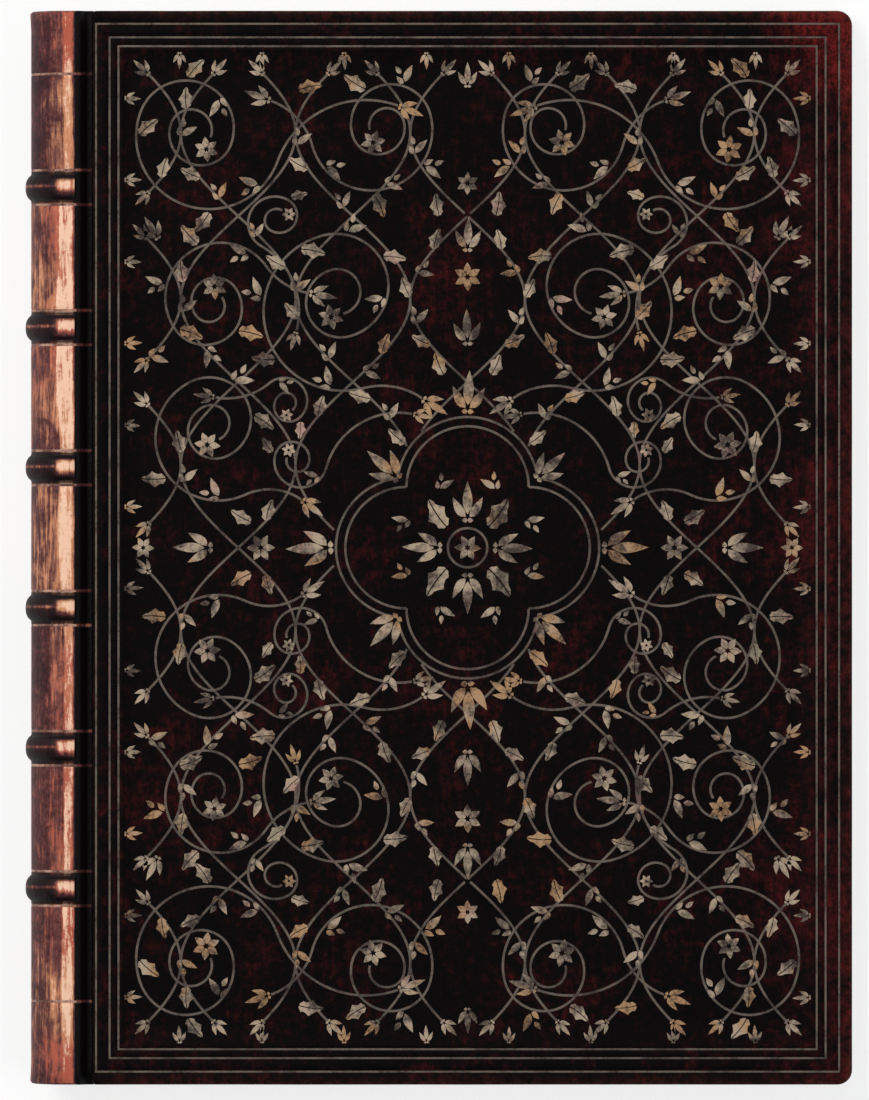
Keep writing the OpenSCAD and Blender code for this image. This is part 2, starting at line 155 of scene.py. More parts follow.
class Graph:
    def __init__(self, name, **values):
        self.tree = bpy.data.node_groups.new(name, "GeometryNodeTree")
        self.values = values
        self.tree.interface.new_socket("Geometry", in_out="INPUT", socket_type="NodeSocketGeometry")
        self.tree.interface.new_socket("Geometry", in_out="OUTPUT", socket_type="NodeSocketGeometry")
        for key, value in values.items():
            kind = "NodeSocketInt" if isinstance(value, int) else "NodeSocketFloat"
            self.tree.interface.new_socket(key, in_out="INPUT", socket_type=kind)
        self.entry = self.tree.nodes.new("NodeGroupInput")

    def given(self, name):
        return self.entry.outputs[name]

    def node(self, kind, settings=None, inputs=None, output=0):
        made = self.tree.nodes.new(kind)
        for key, value in (settings or {}).items():
            setattr(made, key, value)
        for key, value in (inputs or {}).items():
            if isinstance(value, bpy.types.NodeSocket):
                self.tree.links.new(value, made.inputs[key])
            else:
                made.inputs[key].default_value = value
        return made.outputs[output]

    def geo(self, kind, inputs=None, output=0):
        return self.node("GeometryNode" + kind, {}, inputs, output)

    def math(self, operation, *values):
        return self.node("ShaderNodeMath", {"operation": operation}, dict(enumerate(values)))

    def between(self, low, high, seed):
        return self.node("FunctionNodeRandomValue", {"data_type": "FLOAT"},
                         {2: low, 3: high, "Seed": seed}, 1)

    def vector(self, x, y, z):
        return self.node("ShaderNodeCombineXYZ", {}, {0: x, 1: y, 2: z})

    def painted(self, geometry, material):
        return self.geo("SetMaterial", {"Geometry": geometry, "Material": material})

    def joined(self, parts):
        join = self.tree.nodes.new("GeometryNodeJoinGeometry")
        for part in parts:
            self.tree.links.new(part, join.inputs[0])
        return join.outputs[0]

    def grow(self, name, holder, geometry, material=None):
        # runs the tree on the holder, and leaves the result as a plain mesh in its place
        solid = self.geo("RealizeInstances", {0: geometry})
        if material:
            solid = self.painted(solid, material)
        leave = self.tree.nodes.new("NodeGroupOutput")
        self.tree.links.new(solid, leave.inputs[0])
        modifier = holder.modifiers.new(name, "NODES")
        modifier.node_group = self.tree
        for item in self.tree.interface.items_tree:
            if item.in_out == "INPUT" and item.name in self.values:
                modifier[item.identifier] = self.values[item.name]
        graph = bpy.context.evaluated_depsgraph_get()
        mesh = bpy.data.meshes.new_from_object(holder.evaluated_get(graph), depsgraph=graph)
        bpy.data.objects.remove(holder)
        thing = bpy.data.objects.new(name, mesh)
        bpy.context.scene.collection.objects.link(thing)
        return thing


# Shader maths

class Wire:
    def __init__(self, shade, socket):
        self.shade = shade
        self.socket = socket

    def __add__(self, other):
        return self.shade.math("ADD", self, other)

    def __radd__(self, other):
        return self.shade.math("ADD", other, self)

    def __sub__(self, other):
        return self.shade.math("SUBTRACT", self, other)

    def __rsub__(self, other):
        return self.shade.math("SUBTRACT", other, self)

    def __mul__(self, other):
        return self.shade.math("MULTIPLY", self, other)

    def __rmul__(self, other):
        return self.shade.math("MULTIPLY", other, self)


class Shade:
    def __init__(self, name, **fixed):
        self.material = bpy.data.materials.new(name)
        self.material.use_nodes = True
        self.tree = self.material.node_tree
        self.surface = self.tree.nodes["Principled BSDF"]
        for socketName, value in fixed.items():
            self.surface.inputs[socketName.replace("_", " ")].default_value = value

    def node(self, kind, settings=None, inputs=None, output=0):
        made = self.tree.nodes.new(kind)
        for key, value in (settings or {}).items():
            if key == "stops":
                elements = made.color_ramp.elements
                while len(elements) < len(value):
                    elements.new(0.5)
                for element, (position, color) in zip(elements, value):
                    element.position = position
                    element.color = (*color, 1)
            else:
                setattr(made, key, value)
        for key, value in (inputs or {}).items():
            if isinstance(value, Wire):
                self.tree.links.new(value.socket, made.inputs[key])
            else:
                made.inputs[key].default_value = value
        return Wire(self, made.outputs[output])

    def math(self, operation, *values):
        return self.node("ShaderNodeMath", {"operation": operation}, dict(enumerate(values)))

    def place(self):
        return self.node("ShaderNodeTexCoord", output="Object")

    def axis(self, name):
        return self.node("ShaderNodeSeparateXYZ", {}, {0: self.place()}, name)

    def value(self, name):
        return self.node("ShaderNodeAttribute", {"attribute_name": name}, output="Fac")

    def stretched(self, x, y, z):
        return self.node("ShaderNodeMapping", {}, {"Vector": self.place(), "Scale": (x, y, z)})

    def noise(self, size, detail=4.0, rough=0.55, where=None, warp=0.0):
        # size is that of a blotch, in mm
        return self.node("ShaderNodeTexNoise", {}, {
            "Vector": where or self.place(), "Scale": 1 / (size * mm), "Detail": detail,
            "Roughness": rough, "Distortion": warp})

    def cells(self, size):
        return self.node("ShaderNodeTexVoronoi", {}, {
            "Vector": self.place(), "Scale": 1 / (size * mm)}, "Distance")

    def step(self, value, low, high):
        # 0 below low, 1 above high, smooth between
        return self.node("ShaderNodeMapRange", {"interpolation_type": "SMOOTHSTEP"}, {
            "Value": value, "From Min": low, "From Max": high})

    def ramp(self, value, *stops):
        return self.node("ShaderNodeValToRGB", {"stops": stops}, {"Fac": value})

    def mix(self, factor, first, second):
        first = (*first, 1) if isinstance(first, tuple) else first
        second = (*second, 1) if isinstance(second, tuple) else second
        return self.node("ShaderNodeMix", {"data_type": "RGBA"}, {0: factor, 6: first, 7: second}, 2)

    def bump(self, height, depth):
        # depth is the relief of a full step of height, in mm
        return self.node("ShaderNodeBump", {}, {"Height": height, "Distance": depth * mm}, "Normal")

    def finish(self, **links):
        for socketName, value in links.items():
            self.tree.links.new(value.socket, self.surface.inputs[socketName.replace("_", " ")])
        return self.material


print("materials")

coverLook = {
    "ground": (0.0008, 0.0004, 0.0006),
    "brown": (0.0125, 0.0020, 0.0022),
    "red": (0.118, 0.0080, 0.0078),
    "worn": (0.25, 0.075, 0.045),
    "poreSize": 0.75,
    "grainDepth": 0.07,
}


def leatherGrain(shade, depth):
    pores = shade.cells(coverLook["poreSize"])
    creases = shade.noise(2.6, 5, 0.65)
    return shade.bump(pores * 0.6 + creases * 0.9 + shade.noise(9, 2) * 1.2, depth)


def coverLeather():
    look = coverLook
    shade = Shade("dark mottled calf", Specular_IOR_Level=0.05)
    x = shade.axis("X")
    y = shade.axis("Y")
    blotch = shade.noise(17, 5, 0.62, warp=0.6)
    fleck = shade.noise(2.4, 6, 0.75)
    grainy = shade.noise(0.55, 3, 0.7)
    streak = shade.noise(1.3, 4, 0.75, shade.stretched(1, 0.22, 1))
    # painted red sheen over the dyed leather: slight along the fore-edge, strongest at the head corner
    # there
    foreAt = foreX + spineLeft
    fore = shade.step(x, (foreAt - 26) * mm, foreAt * mm)
    corner = shade.step(x + y, (foreAt + headY - 34) * mm, (foreAt + headY - 4) * mm)
    glow = fore * 0.07 + corner * 0.40
    redness = shade.step(blotch * 0.42 + fleck * 0.45 + streak * 0.2 + glow, 0.54, 0.92)
    depth = shade.step(blotch * 0.3 + fleck * 0.5 + streak * 0.2 + fore * 0.05, 0.46, 0.66)
    color = shade.mix(depth, look["ground"], look["brown"])
    color = shade.mix(redness * shade.step(grainy * 0.6 + streak * 0.4, 0.34, 0.66), color, look["red"])
    rub = shade.value("rub")
    color = shade.mix(rub * shade.step(fleck + grainy * 0.3, 0.42, 0.85) * 0.28, color, look["worn"])
    return shade.finish(Base_Color=color, Roughness=0.58 + fleck * 0.25 - rub * 0.12,
                        Normal=leatherGrain(shade, look["grainDepth"]))


spineLook = {
    "dull": ((0.38, (0.004, 0.0012, 0.0022)), (0.47, (0.020, 0.0055, 0.0080)),
             (0.56, (0.062, 0.016, 0.017)), (0.66, (0.135, 0.048, 0.042))),
    # tones of the bright zone, rubbed leather with a painted highlight on it; pale is the painted
    # highlight's core
    "redRubbedAndLit": (0.36, 0.085, 0.050),
    "rubbedAndLit": (0.48, 0.205, 0.105),
    "pale": (0.74, 0.47, 0.33),
    # near-black painted shade, for the groove and round the bands
    "crevice": (0.0015, 0.0006, 0.0009),
    "grainDepth": 0.09,
}


def spineLeather():
    look = spineLook
    shade = Shade("rubbed spine calf", Specular_IOR_Level=0.1)
    # this value holds rubbed wear together with a painted highlight, on the land that faces up and on the
    # band crests
    rub = shade.value("rub")
    streak = shade.noise(0.9, 4, 0.7, shade.stretched(1, 0.1, 1))
    blotch = shade.noise(8, 5, 0.65, warp=0.5)
    fleck = shade.noise(1.1, 4, 0.75)
    cloud = shade.noise(34, 2, 0.5)
    dull = shade.ramp(blotch * 0.4 + fleck * 0.35 + streak * 0.2 + rub * 0.35, *look["dull"])
    # the bright zone, rubbed leather with a painted highlight
    bright = shade.step(rub + (streak - 0.5) * 1.5 + (blotch - 0.5) * 1.0, 0.30, 0.68)
    y = shade.axis("Y")
    ends = shade.step(shade.math("ABSOLUTE", y), (headY - 15) * mm, (headY - 3) * mm)
    hue = shade.mix(shade.step(cloud - ends * 0.4, 0.38, 0.62), look["redRubbedAndLit"], look["rubbedAndLit"])
    color = shade.mix(bright, dull, hue)
    # pale cream painted highlight where the spine is most rubbed
    pale = rub + (streak - 0.5) * 2.2 + (fleck - 0.5) * 0.9 + (blotch - 0.5) * 0.9 - ends * 0.25
    color = shade.mix(shade.step(pale, 0.70, 1.12), color, look["pale"])
    # near-black painted shade in the groove, beside the bands and on their flanks
    color = shade.mix(shade.value("crevice") * (0.85 + fleck * 0.3), color, look["crevice"])
    return shade.finish(Base_Color=color, Roughness=0.50 - rub * 0.14 + fleck * 0.15,
                        Normal=leatherGrain(shade, look["grainDepth"]))


def giltFoil(name, low, high, pink, green, amber, wornTo, wear):
    shade = Shade(name, Specular_IOR_Level=0.25)
    hue = shade.noise(8, 3, 0.6)
    tone = shade.ramp(shade.noise(5, 3, 0.6), (0.36, low), (0.60, high))
    tone = shade.mix(shade.step(hue, 0.56, 0.70) * 0.6, tone, pink)
    tone = shade.mix(shade.step(hue, 0.44, 0.32) * 0.5, tone, green)
    tone = shade.mix(shade.step(shade.noise(13, 2, 0.5), 0.52, 0.62) * 0.7, tone, amber)
    grit = shade.noise(0.8, 5, 0.8)
    left = shade.step(grit * 0.7 + shade.noise(5, 3, 0.6) * 0.5, wear - 0.1, wear + 0.14)
    return shade.finish(Base_Color=shade.mix(left, wornTo, tone), Metallic=left * 0.25,
                        Roughness=0.66 - left * 0.2, Normal=shade.bump(grit, 0.03))


def paper(name, tone, shadow, edges=False):
    shade = Shade(name, Specular_IOR_Level=0.2, Roughness=0.85)
    fibre = shade.noise(0.35, 4, 0.7)
    color = shade.mix(shade.step(fibre * 0.5 + shade.noise(14, 3, 0.5) * 0.6, 0.35, 0.75), shadow, tone)
    if edges:
        layer = shade.noise(0.22, 3, 0.8, shade.stretched(0.03, 0.03, 1))
        color = shade.mix((1 - shade.step(layer, 0.35, 0.6)) * 0.45, color, shadow)
    return shade.finish(Base_Color=color, Normal=shade.bump(fibre, 0.015))


def greyCard():
    shade = Shade("greyboard", Roughness=0.9, Specular_IOR_Level=0.15)
    fibre = shade.noise(0.7, 5, 0.75)
    color = shade.mix(fibre, (0.16, 0.14, 0.115), (0.34, 0.31, 0.26))
    return shade.finish(Base_Color=color, Normal=shade.bump(fibre, 0.05))


def wovenCloth():
    shade = Shade("lining cloth", Roughness=0.9, Specular_IOR_Level=0.1)
    weave = 0
    for direction in ("Y", "Z"):
        weave = weave + 0.5 * shade.node("ShaderNodeTexWave", {"bands_direction": direction}, {
            "Vector": shade.place(), "Scale": 260.0, "Distortion": 0.4}, "Fac")
    return shade.finish(Base_Color=shade.mix(weave, (0.42, 0.37, 0.28), (0.74, 0.69, 0.58)),
                        Normal=shade.bump(weave, 0.1))


def silkThread(name, tone, shadow):
    shade = Shade(name, Roughness=0.55)
    strand = shade.noise(0.18, 3, 0.6)
    return shade.finish(Base_Color=shade.mix(strand, shadow, tone), Normal=shade.bump(strand, 0.04))


def rulingInk():
    shade = Shade("blue-grey ruling ink", Roughness=0.8, Specular_IOR_Level=0.2)
    color = shade.mix(shade.noise(0.3, 3, 0.7), (0.085, 0.115, 0.19), (0.16, 0.20, 0.29))
    return shade.finish(Base_Color=color)


coverSkin = coverLeather()
spineSkin = spineLeather()
giltLine = giltFoil("worn gilt line", (0.060, 0.047, 0.040), (0.118, 0.093, 0.074), (0.13, 0.066, 0.064),
                    (0.068, 0.070, 0.055), (0.115, 0.092, 0.072), (0.020, 0.010, 0.008), 0.51)
giltLeaf = giltFoil("gilt leaf", (0.080, 0.062, 0.050), (0.37, 0.285, 0.20), (0.36, 0.19, 0.16),
                    (0.15, 0.15, 0.09), (0.36, 0.19, 0.075), (0.022, 0.011, 0.008), 0.54)
giltSpine = giltFoil("gilt spine line", (0.20, 0.095, 0.075), (0.44, 0.25, 0.19), (0.42, 0.19, 0.17),
                     (0.24, 0.17, 0.12), (0.40, 0.20, 0.12), (0.08, 0.030, 0.022), 0.58)
leafPaper = paper("cream page paper", (0.84, 0.77, 0.62), (0.75, 0.675, 0.52), edges=True)
endPaper = paper("buff endpaper", (0.64, 0.51, 0.345), (0.56, 0.435, 0.285))
card = greyCard()
cloth = wovenCloth()
threads = [silkThread("gold silk", (0.62, 0.38, 0.10), (0.30, 0.16, 0.04)),
           silkThread("red silk", (0.30, 0.022, 0.020), (0.11, 0.008, 0.008))]
ink = rulingInk()

bandNames = ["raised_band_%d" % (i + 1) for i in range(6)]
keptMaterials = {
    "front_board": card, "back_board": card, "spine_inlay": card, "spine_lining": cloth,
    "front_endpaper_hinge": endPaper, "back_endpaper_hinge": endPaper,
    "back_fillets": giltLine,
}
keptMaterials.update({name: card for name in bandNames})
for name, material in keptMaterials.items():
    nodes[name].data.materials.clear()
    nodes[name].data.materials.append(material)


print("spine leather")

spineForm = {
    "backRadius": 14.0,
    "shoulderRadius": 3.5,
    "cardThick": 0.8,
    "foldLength": 12.0,
    "bandRise": 1.2,
    "bandRiseOnLand": 0.8,
    "bandWidth": 5.4,
    "bandReach": 0.7,
    "rows": 116,
    "rowsPerBand": 27,
    "bandSharpness": 2.6,
    "lineOffset": 3.7,
    "lineDip": 0.12,
    "headLine": 13.5,
    "tailLine": 17.8,
    "softness": 0.08,
    "panelWear": (0.42, 0.95, 0.85, 0.90, 0.50, 0.55, 0.72),
    "plainWear": 0.42,
    # across the spine, in mm from its back: where the wear and painted highlight begin, brighten and end
    "brownFrom": 3.7,
    "brightFrom": 7.4,
    "wornWider": 3.0,
    "brightTo": 9.7,
    "crestRadius": 1.2,
    "rootRadius": 1.0,
    "grooveSlope": math.radians(50),
    "grooveFloor": 9.1,
}
backTurn = math.asin((spineHalf - spineForm["shoulderRadius"])
                     / (spineForm["backRadius"] - spineForm["shoulderRadius"]))


def walk(legs, x, z, heading):
    # stations (x, z, heading) along legs of (radius, turn, steps), or (length, 0, steps) for a straight
    stations = [(x, z, heading)]
    for size, turn, steps in legs:
        side = 1 if turn > 0 else -1
        cx = x + side * size * math.sin(heading)
        cz = z - side * size * math.cos(heading)
        for i in range(1, steps + 1):
            a = heading - turn * i / steps
            if turn:
                stations.append((cx - side * size * math.sin(a), cz + side * size * math.cos(a), a))
            else:
                along = size * i / steps
                stations.append((x + along * math.cos(heading), z + along * math.sin(heading), heading))
        x, z, heading = stations[-1]
    return stations


spineLegs = [(spineForm["backRadius"], backTurn, 22),
             (spineForm["shoulderRadius"], math.pi / 2 - backTurn, 10)]
landStart = 32
seamX = landX - 0.06
shoulderX = walk(spineLegs, 0, 0, math.pi / 2)[-1][0]
spinePath = walk(spineLegs + [(seamX - shoulderX, 0, 14)], 0, 0, math.pi / 2)
bandPlaces = [(low.y + high.y) / 2 / mm for low, high in map(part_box, bandNames)]
linePlaces = [at + side * spineForm["lineOffset"] for at in bandPlaces for side in (-1, 1)]
linePlaces += [headY - spineForm["headLine"], spineForm["tailLine"] - headY]


def bandRise(index):
    form = spineForm
    if index <= landStart:
        return form["bandRise"] + (form["bandRiseOnLand"] - form["bandRise"]) * (index / landStart) ** 2
    along = (index - landStart) / (len(spinePath) - 1 - landStart)
    return form["bandRiseOnLand"] * math.sqrt(max(1 - (max(along - 0.25, 0) / 0.75) ** 2, 0))


def spineRows():
    form = spineForm
    ys = set(spread(0.5 - headY, headY - 0.5, form["rows"]))
    reach = form["bandWidth"] / 2 + form["bandReach"]
    for at in bandPlaces:
        ys.update(at + t for t in spread(-reach, reach, form["rowsPerBand"]))
    for line in linePlaces:
        ys.update(line + t for t in (-0.42, -0.22, 0, 0.22, 0.42))
    kept = []
    for y in sorted(ys):
        if not kept or y - kept[-1] > 0.08:
            kept.append(y)
    return kept[::-1]


def buildSpine():
    form = spineForm
    rows = spineRows()
    fold = 2 * leatherThick + form["cardThick"]
    half = [(i, 1) for i in range(len(spinePath) - 1, 0, -1)] + [(i, -1) for i in range(len(spinePath))]
    endTurn = [(0.5 * math.sin(a), 0.5 * math.cos(a)) for a in spread(0, math.pi / 2, 5)]
    points, wearAndHighlights, paintedShades = [], [], []
    for index, side in half:
        x, z, heading = spinePath[index]
        nx, nz = -math.sin(heading), math.cos(heading)
        rise = bandRise(index)
        onBack = 1 - smooth(landStart, len(spinePath) - 3, index)
        # painted shadow in the joint groove, which also keeps wear and painted highlight out of it
        grooveShade = smooth(form["brightTo"] - 0.25, form["brightTo"], x)
        ring = []
        for y in rows:
            panel = sum(1 for at in bandPlaces if at > y)
            wear = form["panelWear"][panel] * (0.75 + 0.5 * ripple(0, y, 3, 22))
            # rubbed wear and a painted highlight across the spine: darker on the rounded back, brightest on
            # the land that faces up; on worn panels the bright part starts nearer the back
            bright = form["brightFrom"] - form["wornWider"] * smooth(0.5, 1.1, wear) * ripple(3, y, 0, 30)
            shoulderWearAndHighlight = 0.5 * (0.55 + 0.45 * wear) * smooth(form["brownFrom"], form["brownFrom"] + 0.7, x)
            shoulderWearAndHighlight += (0.25 + 0.4 * wear) * smooth(bright - 0.25, bright + 0.15, x)
            shoulderWearAndHighlight *= 1 - smooth(form["brightTo"] - 0.9, form["brightTo"], x)
            offset = min((y - at for at in bandPlaces), key=abs)
            t = abs(offset) / (form["bandWidth"] / 2)
            crown = max(1 - t ** form["bandSharpness"], 0) ** 0.8
            dip = form["lineDip"] * smooth(0.42, 0.18, min(abs(y - line) for line in linePlaces))
            soft = form["softness"] * ripple(x * 3, y, z * side, 9) * onBack
            cap = 0.2 * smooth(headY - 4, headY - 0.8, abs(y)) * onBack
            # painted highlight along each band's crest
            crest = smooth(0.45, 1.0, crown)
            # painted shadow in a strip each side of a band, and painted shade on the band's flanks
            shadowBesideBand = math.exp(-((abs(offset) - 3.0) / 0.5) ** 2)
            foot = smooth(0.02, 0.2, crown) * (1 - crest)
            # a thin painted highlight line along the crest
            crestHighlightLine = math.exp(-((offset - 0.3) / 0.42) ** 2)
            rub = max(shoulderWearAndHighlight * (1 - 0.6 * foot), form["plainWear"] * wear * (1 - grooveShade))
            # on the land the crest highlight is painted brighter, most on the band's upper side
            if crown > 0:
                onLand = smooth(5.2, 6.6, x)
                litUpperSide = smooth(-1.2, 0.2, offset)
                rub = max(crest * (0.05 + (0.35 + 0.75 * litUpperSide) * onLand), crestHighlightLine * 0.38) * (1 - grooveShade)
            rub = max(rub, 0.34 * smooth(headY - 3, headY - 0.3, abs(y)) * onBack)
            # painted shade: beside the bands, on their flanks, in the groove, and on the bands over the
            # rounded back
            dark = max(shadowBesideBand, foot, grooveShade, 0.75 * (crown > 0.02) * (1 - crestHighlightLine) * (1 - smooth(5.0, 6.4, x)))
            ring.append((rise * crown - dip - soft + cap, y, rub, min(dark, 1)))
        for dy, rounding in endTurn[1:]:
            ring.append((rounding - 0.5, 0.5 - headY - dy, 0.35, 0))
        for dy, rounding in endTurn[::-1]:
            ring.append((-fold + 0.5 - rounding, 0.5 - headY - dy, 0.1, 0))
        low = form["foldLength"] - headY
        edge = headY - leatherThick
        inner = [(-fold, low), (leatherThick - fold, low), (leatherThick - fold, -edge),
                 (-leatherThick, -edge)]
        inner += [(d, -y) for d, y in inner[::-1]]
        ring += [(d, y, 0.1, 0) for d, y in inner]
        for dy, rounding in endTurn:
            ring.append((-fold + 0.5 - rounding, headY - 0.5 + dy, 0.1, 0))
        for dy, rounding in endTurn[:0:-1]:
            ring.append((rounding - 0.5, headY - 0.5 + dy, 0.35, 0))
        for d, y, rub, crevice in ring:
            points.append(place(x + d * nx, y, side * (z + d * nz)))
            wearAndHighlights.append(rub)
            paintedShades.append(crevice)
    thing = closedShell("spine_leather", points, tubeFaces(len(half), len(ring)))
    pointValues(thing, "rub", wearAndHighlights)
    pointValues(thing, "crevice", paintedShades)
    return thing


finishPiece(buildSpine(), spineSkin, ["spine_covering"], "book_block")


jointForm = {
    "underside": 8.72,
    "tuck": 0.35,
    "foldStart": 10.3,
    "foldEnd": 13.3,
    "rows": 60,
}


def groovePath():
    form = spineForm
    drop = spineHalf - form["grooveFloor"]
    bends = (form["crestRadius"] + form["rootRadius"]) * (1 - math.cos(form["grooveSlope"]))
    slope = (drop - bends) / math.sin(form["grooveSlope"])
    legs = [(landX - seamX, 0, 1), (form["crestRadius"], form["grooveSlope"], 8), (slope, 0, 5),
            (form["rootRadius"], -form["grooveSlope"], 7)]
    path = walk(legs, seamX, spineHalf, 0)
    x, z, heading = path[-1]
    path += [(x + (jointX - x) * t, z, 0) for t in (0.34, 0.67, 1)]
    path.append((jointX + jointForm["tuck"], z - 0.12, 0))
    return path


def buildJoint(side):
    form = jointForm
    lines = [line + t for line in linePlaces for t in (-0.5, -0.2, 0.2, 0.5)]
    rows = sorted(spread(headY, -headY, form["rows"]) + lines, reverse=True)
    points, wearAndHighlights, paintedShades = [], [], []
    path = groovePath()
    for x, z, heading in path:
        ux = x + math.sin(heading) * leatherThick
        uz = max(z - math.cos(heading) * leatherThick, form["underside"])
        ring = [(x, y, z) for y in rows] + [(ux, y, uz) for y in rows[::-1]]
        for px, y, pz in ring:
            points.append(place(px, y, side * pz))
            # the groove strip is painted near-black shadow all over, except the tooled lines across it,
            # which are lighter and a little worn
            tooled = min(abs(y - line) for line in linePlaces) < 0.3
            wearAndHighlights.append(0.3 if tooled else 0)
            paintedShades.append(0.35 if tooled else 1)
    name = "front_joint" if side > 0 else "back_joint"
    thing = closedShell(name, points, tubeFaces(len(path), 2 * len(rows)))
    pointValues(thing, "rub", wearAndHighlights)
    pointValues(thing, "crevice", paintedShades)
    return thing


for side, cover in ((1, "front_cover"), (-1, "back_cover")):
    strip = finishPiece(buildJoint(side), spineSkin)
    place(jointForm["foldStart"], 0, side * spineHalf)
    place(jointForm["foldEnd"], 0, side * spineHalf)
    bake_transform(strip)


print("covers")

coverForm = {
    "foreRadius": 3.2,
    "jointRadius": 0.9,
    "edgeRadius": 0.9,
    "innerEase": 0.45,
    "turnIn": 15.0,
    "filletEdge": 2.6,
    "filletJoint": {1: 0.66, 0: 1.6},
    "jointEase": 0.55,
    "filletSteps": (4.8, 2.9, 0.0),
    "filletWidth": 0.45,
    "ruledRadius": 0.12,
    "panelStep": 6.25,
    "softEdge": 0.14,
    "unevenEdge": 0.06,
    "cornerPoints": 8,
    "sidePoints": (26, 18),
}


def outline(jointIn, foreIn, endIn, jointRadius, foreRadius):
    # a loop round a board, from the corner at fore-edge and tail, towards the head
    form = coverForm
    x0, x1, y1 = jointX + jointIn, foreX - foreIn, headY - endIn
    jr, fr = max(jointRadius, 0.1), max(foreRadius, 0.1)
    corners = [(x1 - fr, fr - y1, fr, -90), (x1 - fr, y1 - fr, fr, 0),
               (x0 + jr, y1 - jr, jr, 90), (x0 + jr, jr - y1, jr, 180)]
    arcs = [[around(cx, cy, r, a) for a in spread(start, start + 90, form["cornerPoints"] + 1)]
            for cx, cy, r, start in corners]
    loop = []
    for i, arc in enumerate(arcs):
        loop += arc
        ax, ay = arc[-1]
        bx, by = arcs[(i + 1) % 4][0]
        steps = form["sidePoints"][i % 2]
        loop += [(ax + (bx - ax) * t / steps, ay + (by - ay) * t / steps) for t in range(1, steps)]
    return loop


def ruledLoop(pressed, step):
    # a loop with sharp corners, that far inside the outer fillet
    form = coverForm
    inset = form["filletEdge"] + step
    r = form["ruledRadius"]
    return outline(form["filletJoint"][pressed] + step, inset, inset, r, r)


def coverProfile(pressed):
    # rings (loop, z, rub) from the middle of the outer face, round the edge, and back inside
    form = coverForm
    rings = []

    def tooled(step, z):
        rings.append((ruledLoop(pressed, step), z, 0))

    def plain(inset, z, rub, jointInset=None):
        rings.append((outline(inset if jointInset is None else jointInset, inset, inset,
                              form["jointRadius"] - inset, form["foreRadius"] - inset), z, rub))

    floor = outerZ - toolDepth
    edge = form["panelStep"]
    panel = ruledLoop(pressed, edge)
    cx = (jointX + form["filletJoint"][pressed] + foreX - form["filletEdge"]) / 2
    for share in (0.02, 0.12, 0.25, 0.4, 0.55, 0.7, 0.85, 0.95):
        loop = [(cx + (x - cx) * share, y * share) for x, y in panel]
        rings.append((loop, floor if pressed else outerZ, 0))
    soft = form["softEdge"]
    for inset, share in ((0, 1), (-0.3 * soft, 0.8), (-soft, 0)):
        tooled(edge + inset, outerZ - toolDepth * share * pressed)
    for step in form["filletSteps"]:
        wide = form["filletWidth"]
        for inset, share in ((wide + soft, 0), (wide + 0.3 * soft, 0.8), (wide, 1), (0, 1),
                             (-0.3 * soft, 0.8), (-soft, 0)):
            tooled(step + inset, outerZ - toolDepth * share)
    r = form["edgeRadius"]
    for a in spread(0, 90, 7):
        c, s = ray(a)
        plain(r - r * s, outerZ - r + r * c, 0.25 + 0.75 * s, (r - r * s) * form["jointEase"])
    e = form["innerEase"]
    for z in spread(outerZ - r - 0.3, turnInZ + e + 0.2, 3):
        plain(0, z, 0.8)
    for a in spread(0, 90, 4):
        c, s = ray(a)
        plain(e - e * c, turnInZ + e - e * s, 0.4)
    core = turnInZ + leatherThick
    end = form["turnIn"]
    for inset, z in ((1.2, turnInZ), (3, turnInZ), (8, turnInZ), (end - 0.3, turnInZ),
                     (end - 0.05, turnInZ + 0.15), (end, core)):
        plain(inset, z, 0, e + 0.002 * inset)
    plain(leatherThick + 0.1, core, 0, leatherThick)
    plain(leatherThick, core + 0.1, 0)
    plain(leatherThick, outerZ - leatherThick, 0)
    return rings


def buildCover(side, pressed):
    form = coverForm
    points, wearAndHighlights = [], []
    rings = coverProfile(pressed)
    middle = form["cornerPoints"] // 2
    mitres = {middle, middle + form["cornerPoints"] + form["sidePoints"][0]}
    for loop, z, rub in rings:
        for k, (x, y) in enumerate(loop):
            dz = 0.14 if z <= turnInZ + 0.001 and k in mitres else 0
            if rub > 0.2:
                sink = form["unevenEdge"] * ripple(x, y, z, 11)
                if abs(y) < headY - 1.5:
                    x -= math.copysign(sink, x - (jointX + foreX) / 2)
                else:
                    y -= math.copysign(sink, y)
            nearCorner = smooth(16, 2, math.hypot(max(foreX - x, 0), headY - abs(y)))
            points.append(place(x, y, side * (z + dz)))
            wearAndHighlights.append(rub * (0.55 + 0.45 * nearCorner) * smooth(jointX + 1, jointX + 6, x))
    thing = closedShell("front_cover_leather" if side > 0 else "back_cover_leather", points,
                        tubeFaces(len(rings), len(rings[0][0])))
    pointValues(thing, "rub", wearAndHighlights)
    return thing


finishPiece(buildCover(1, 1), coverSkin, ["front_covering"], "front_cover")
finishPiece(buildCover(-1, 0), coverSkin, ["back_covering"], "back_cover")


print("endpapers")

endpaperForm = {
    "hingeStart": 10.2,
    "foldStart": 10.4,
    "square": 3.0,
    "thick": 0.2,
    "hingeThick": 0.1,
    "recess": 0.5,
    "softStep": 1.3,
    "unevenness": 0.03,
}


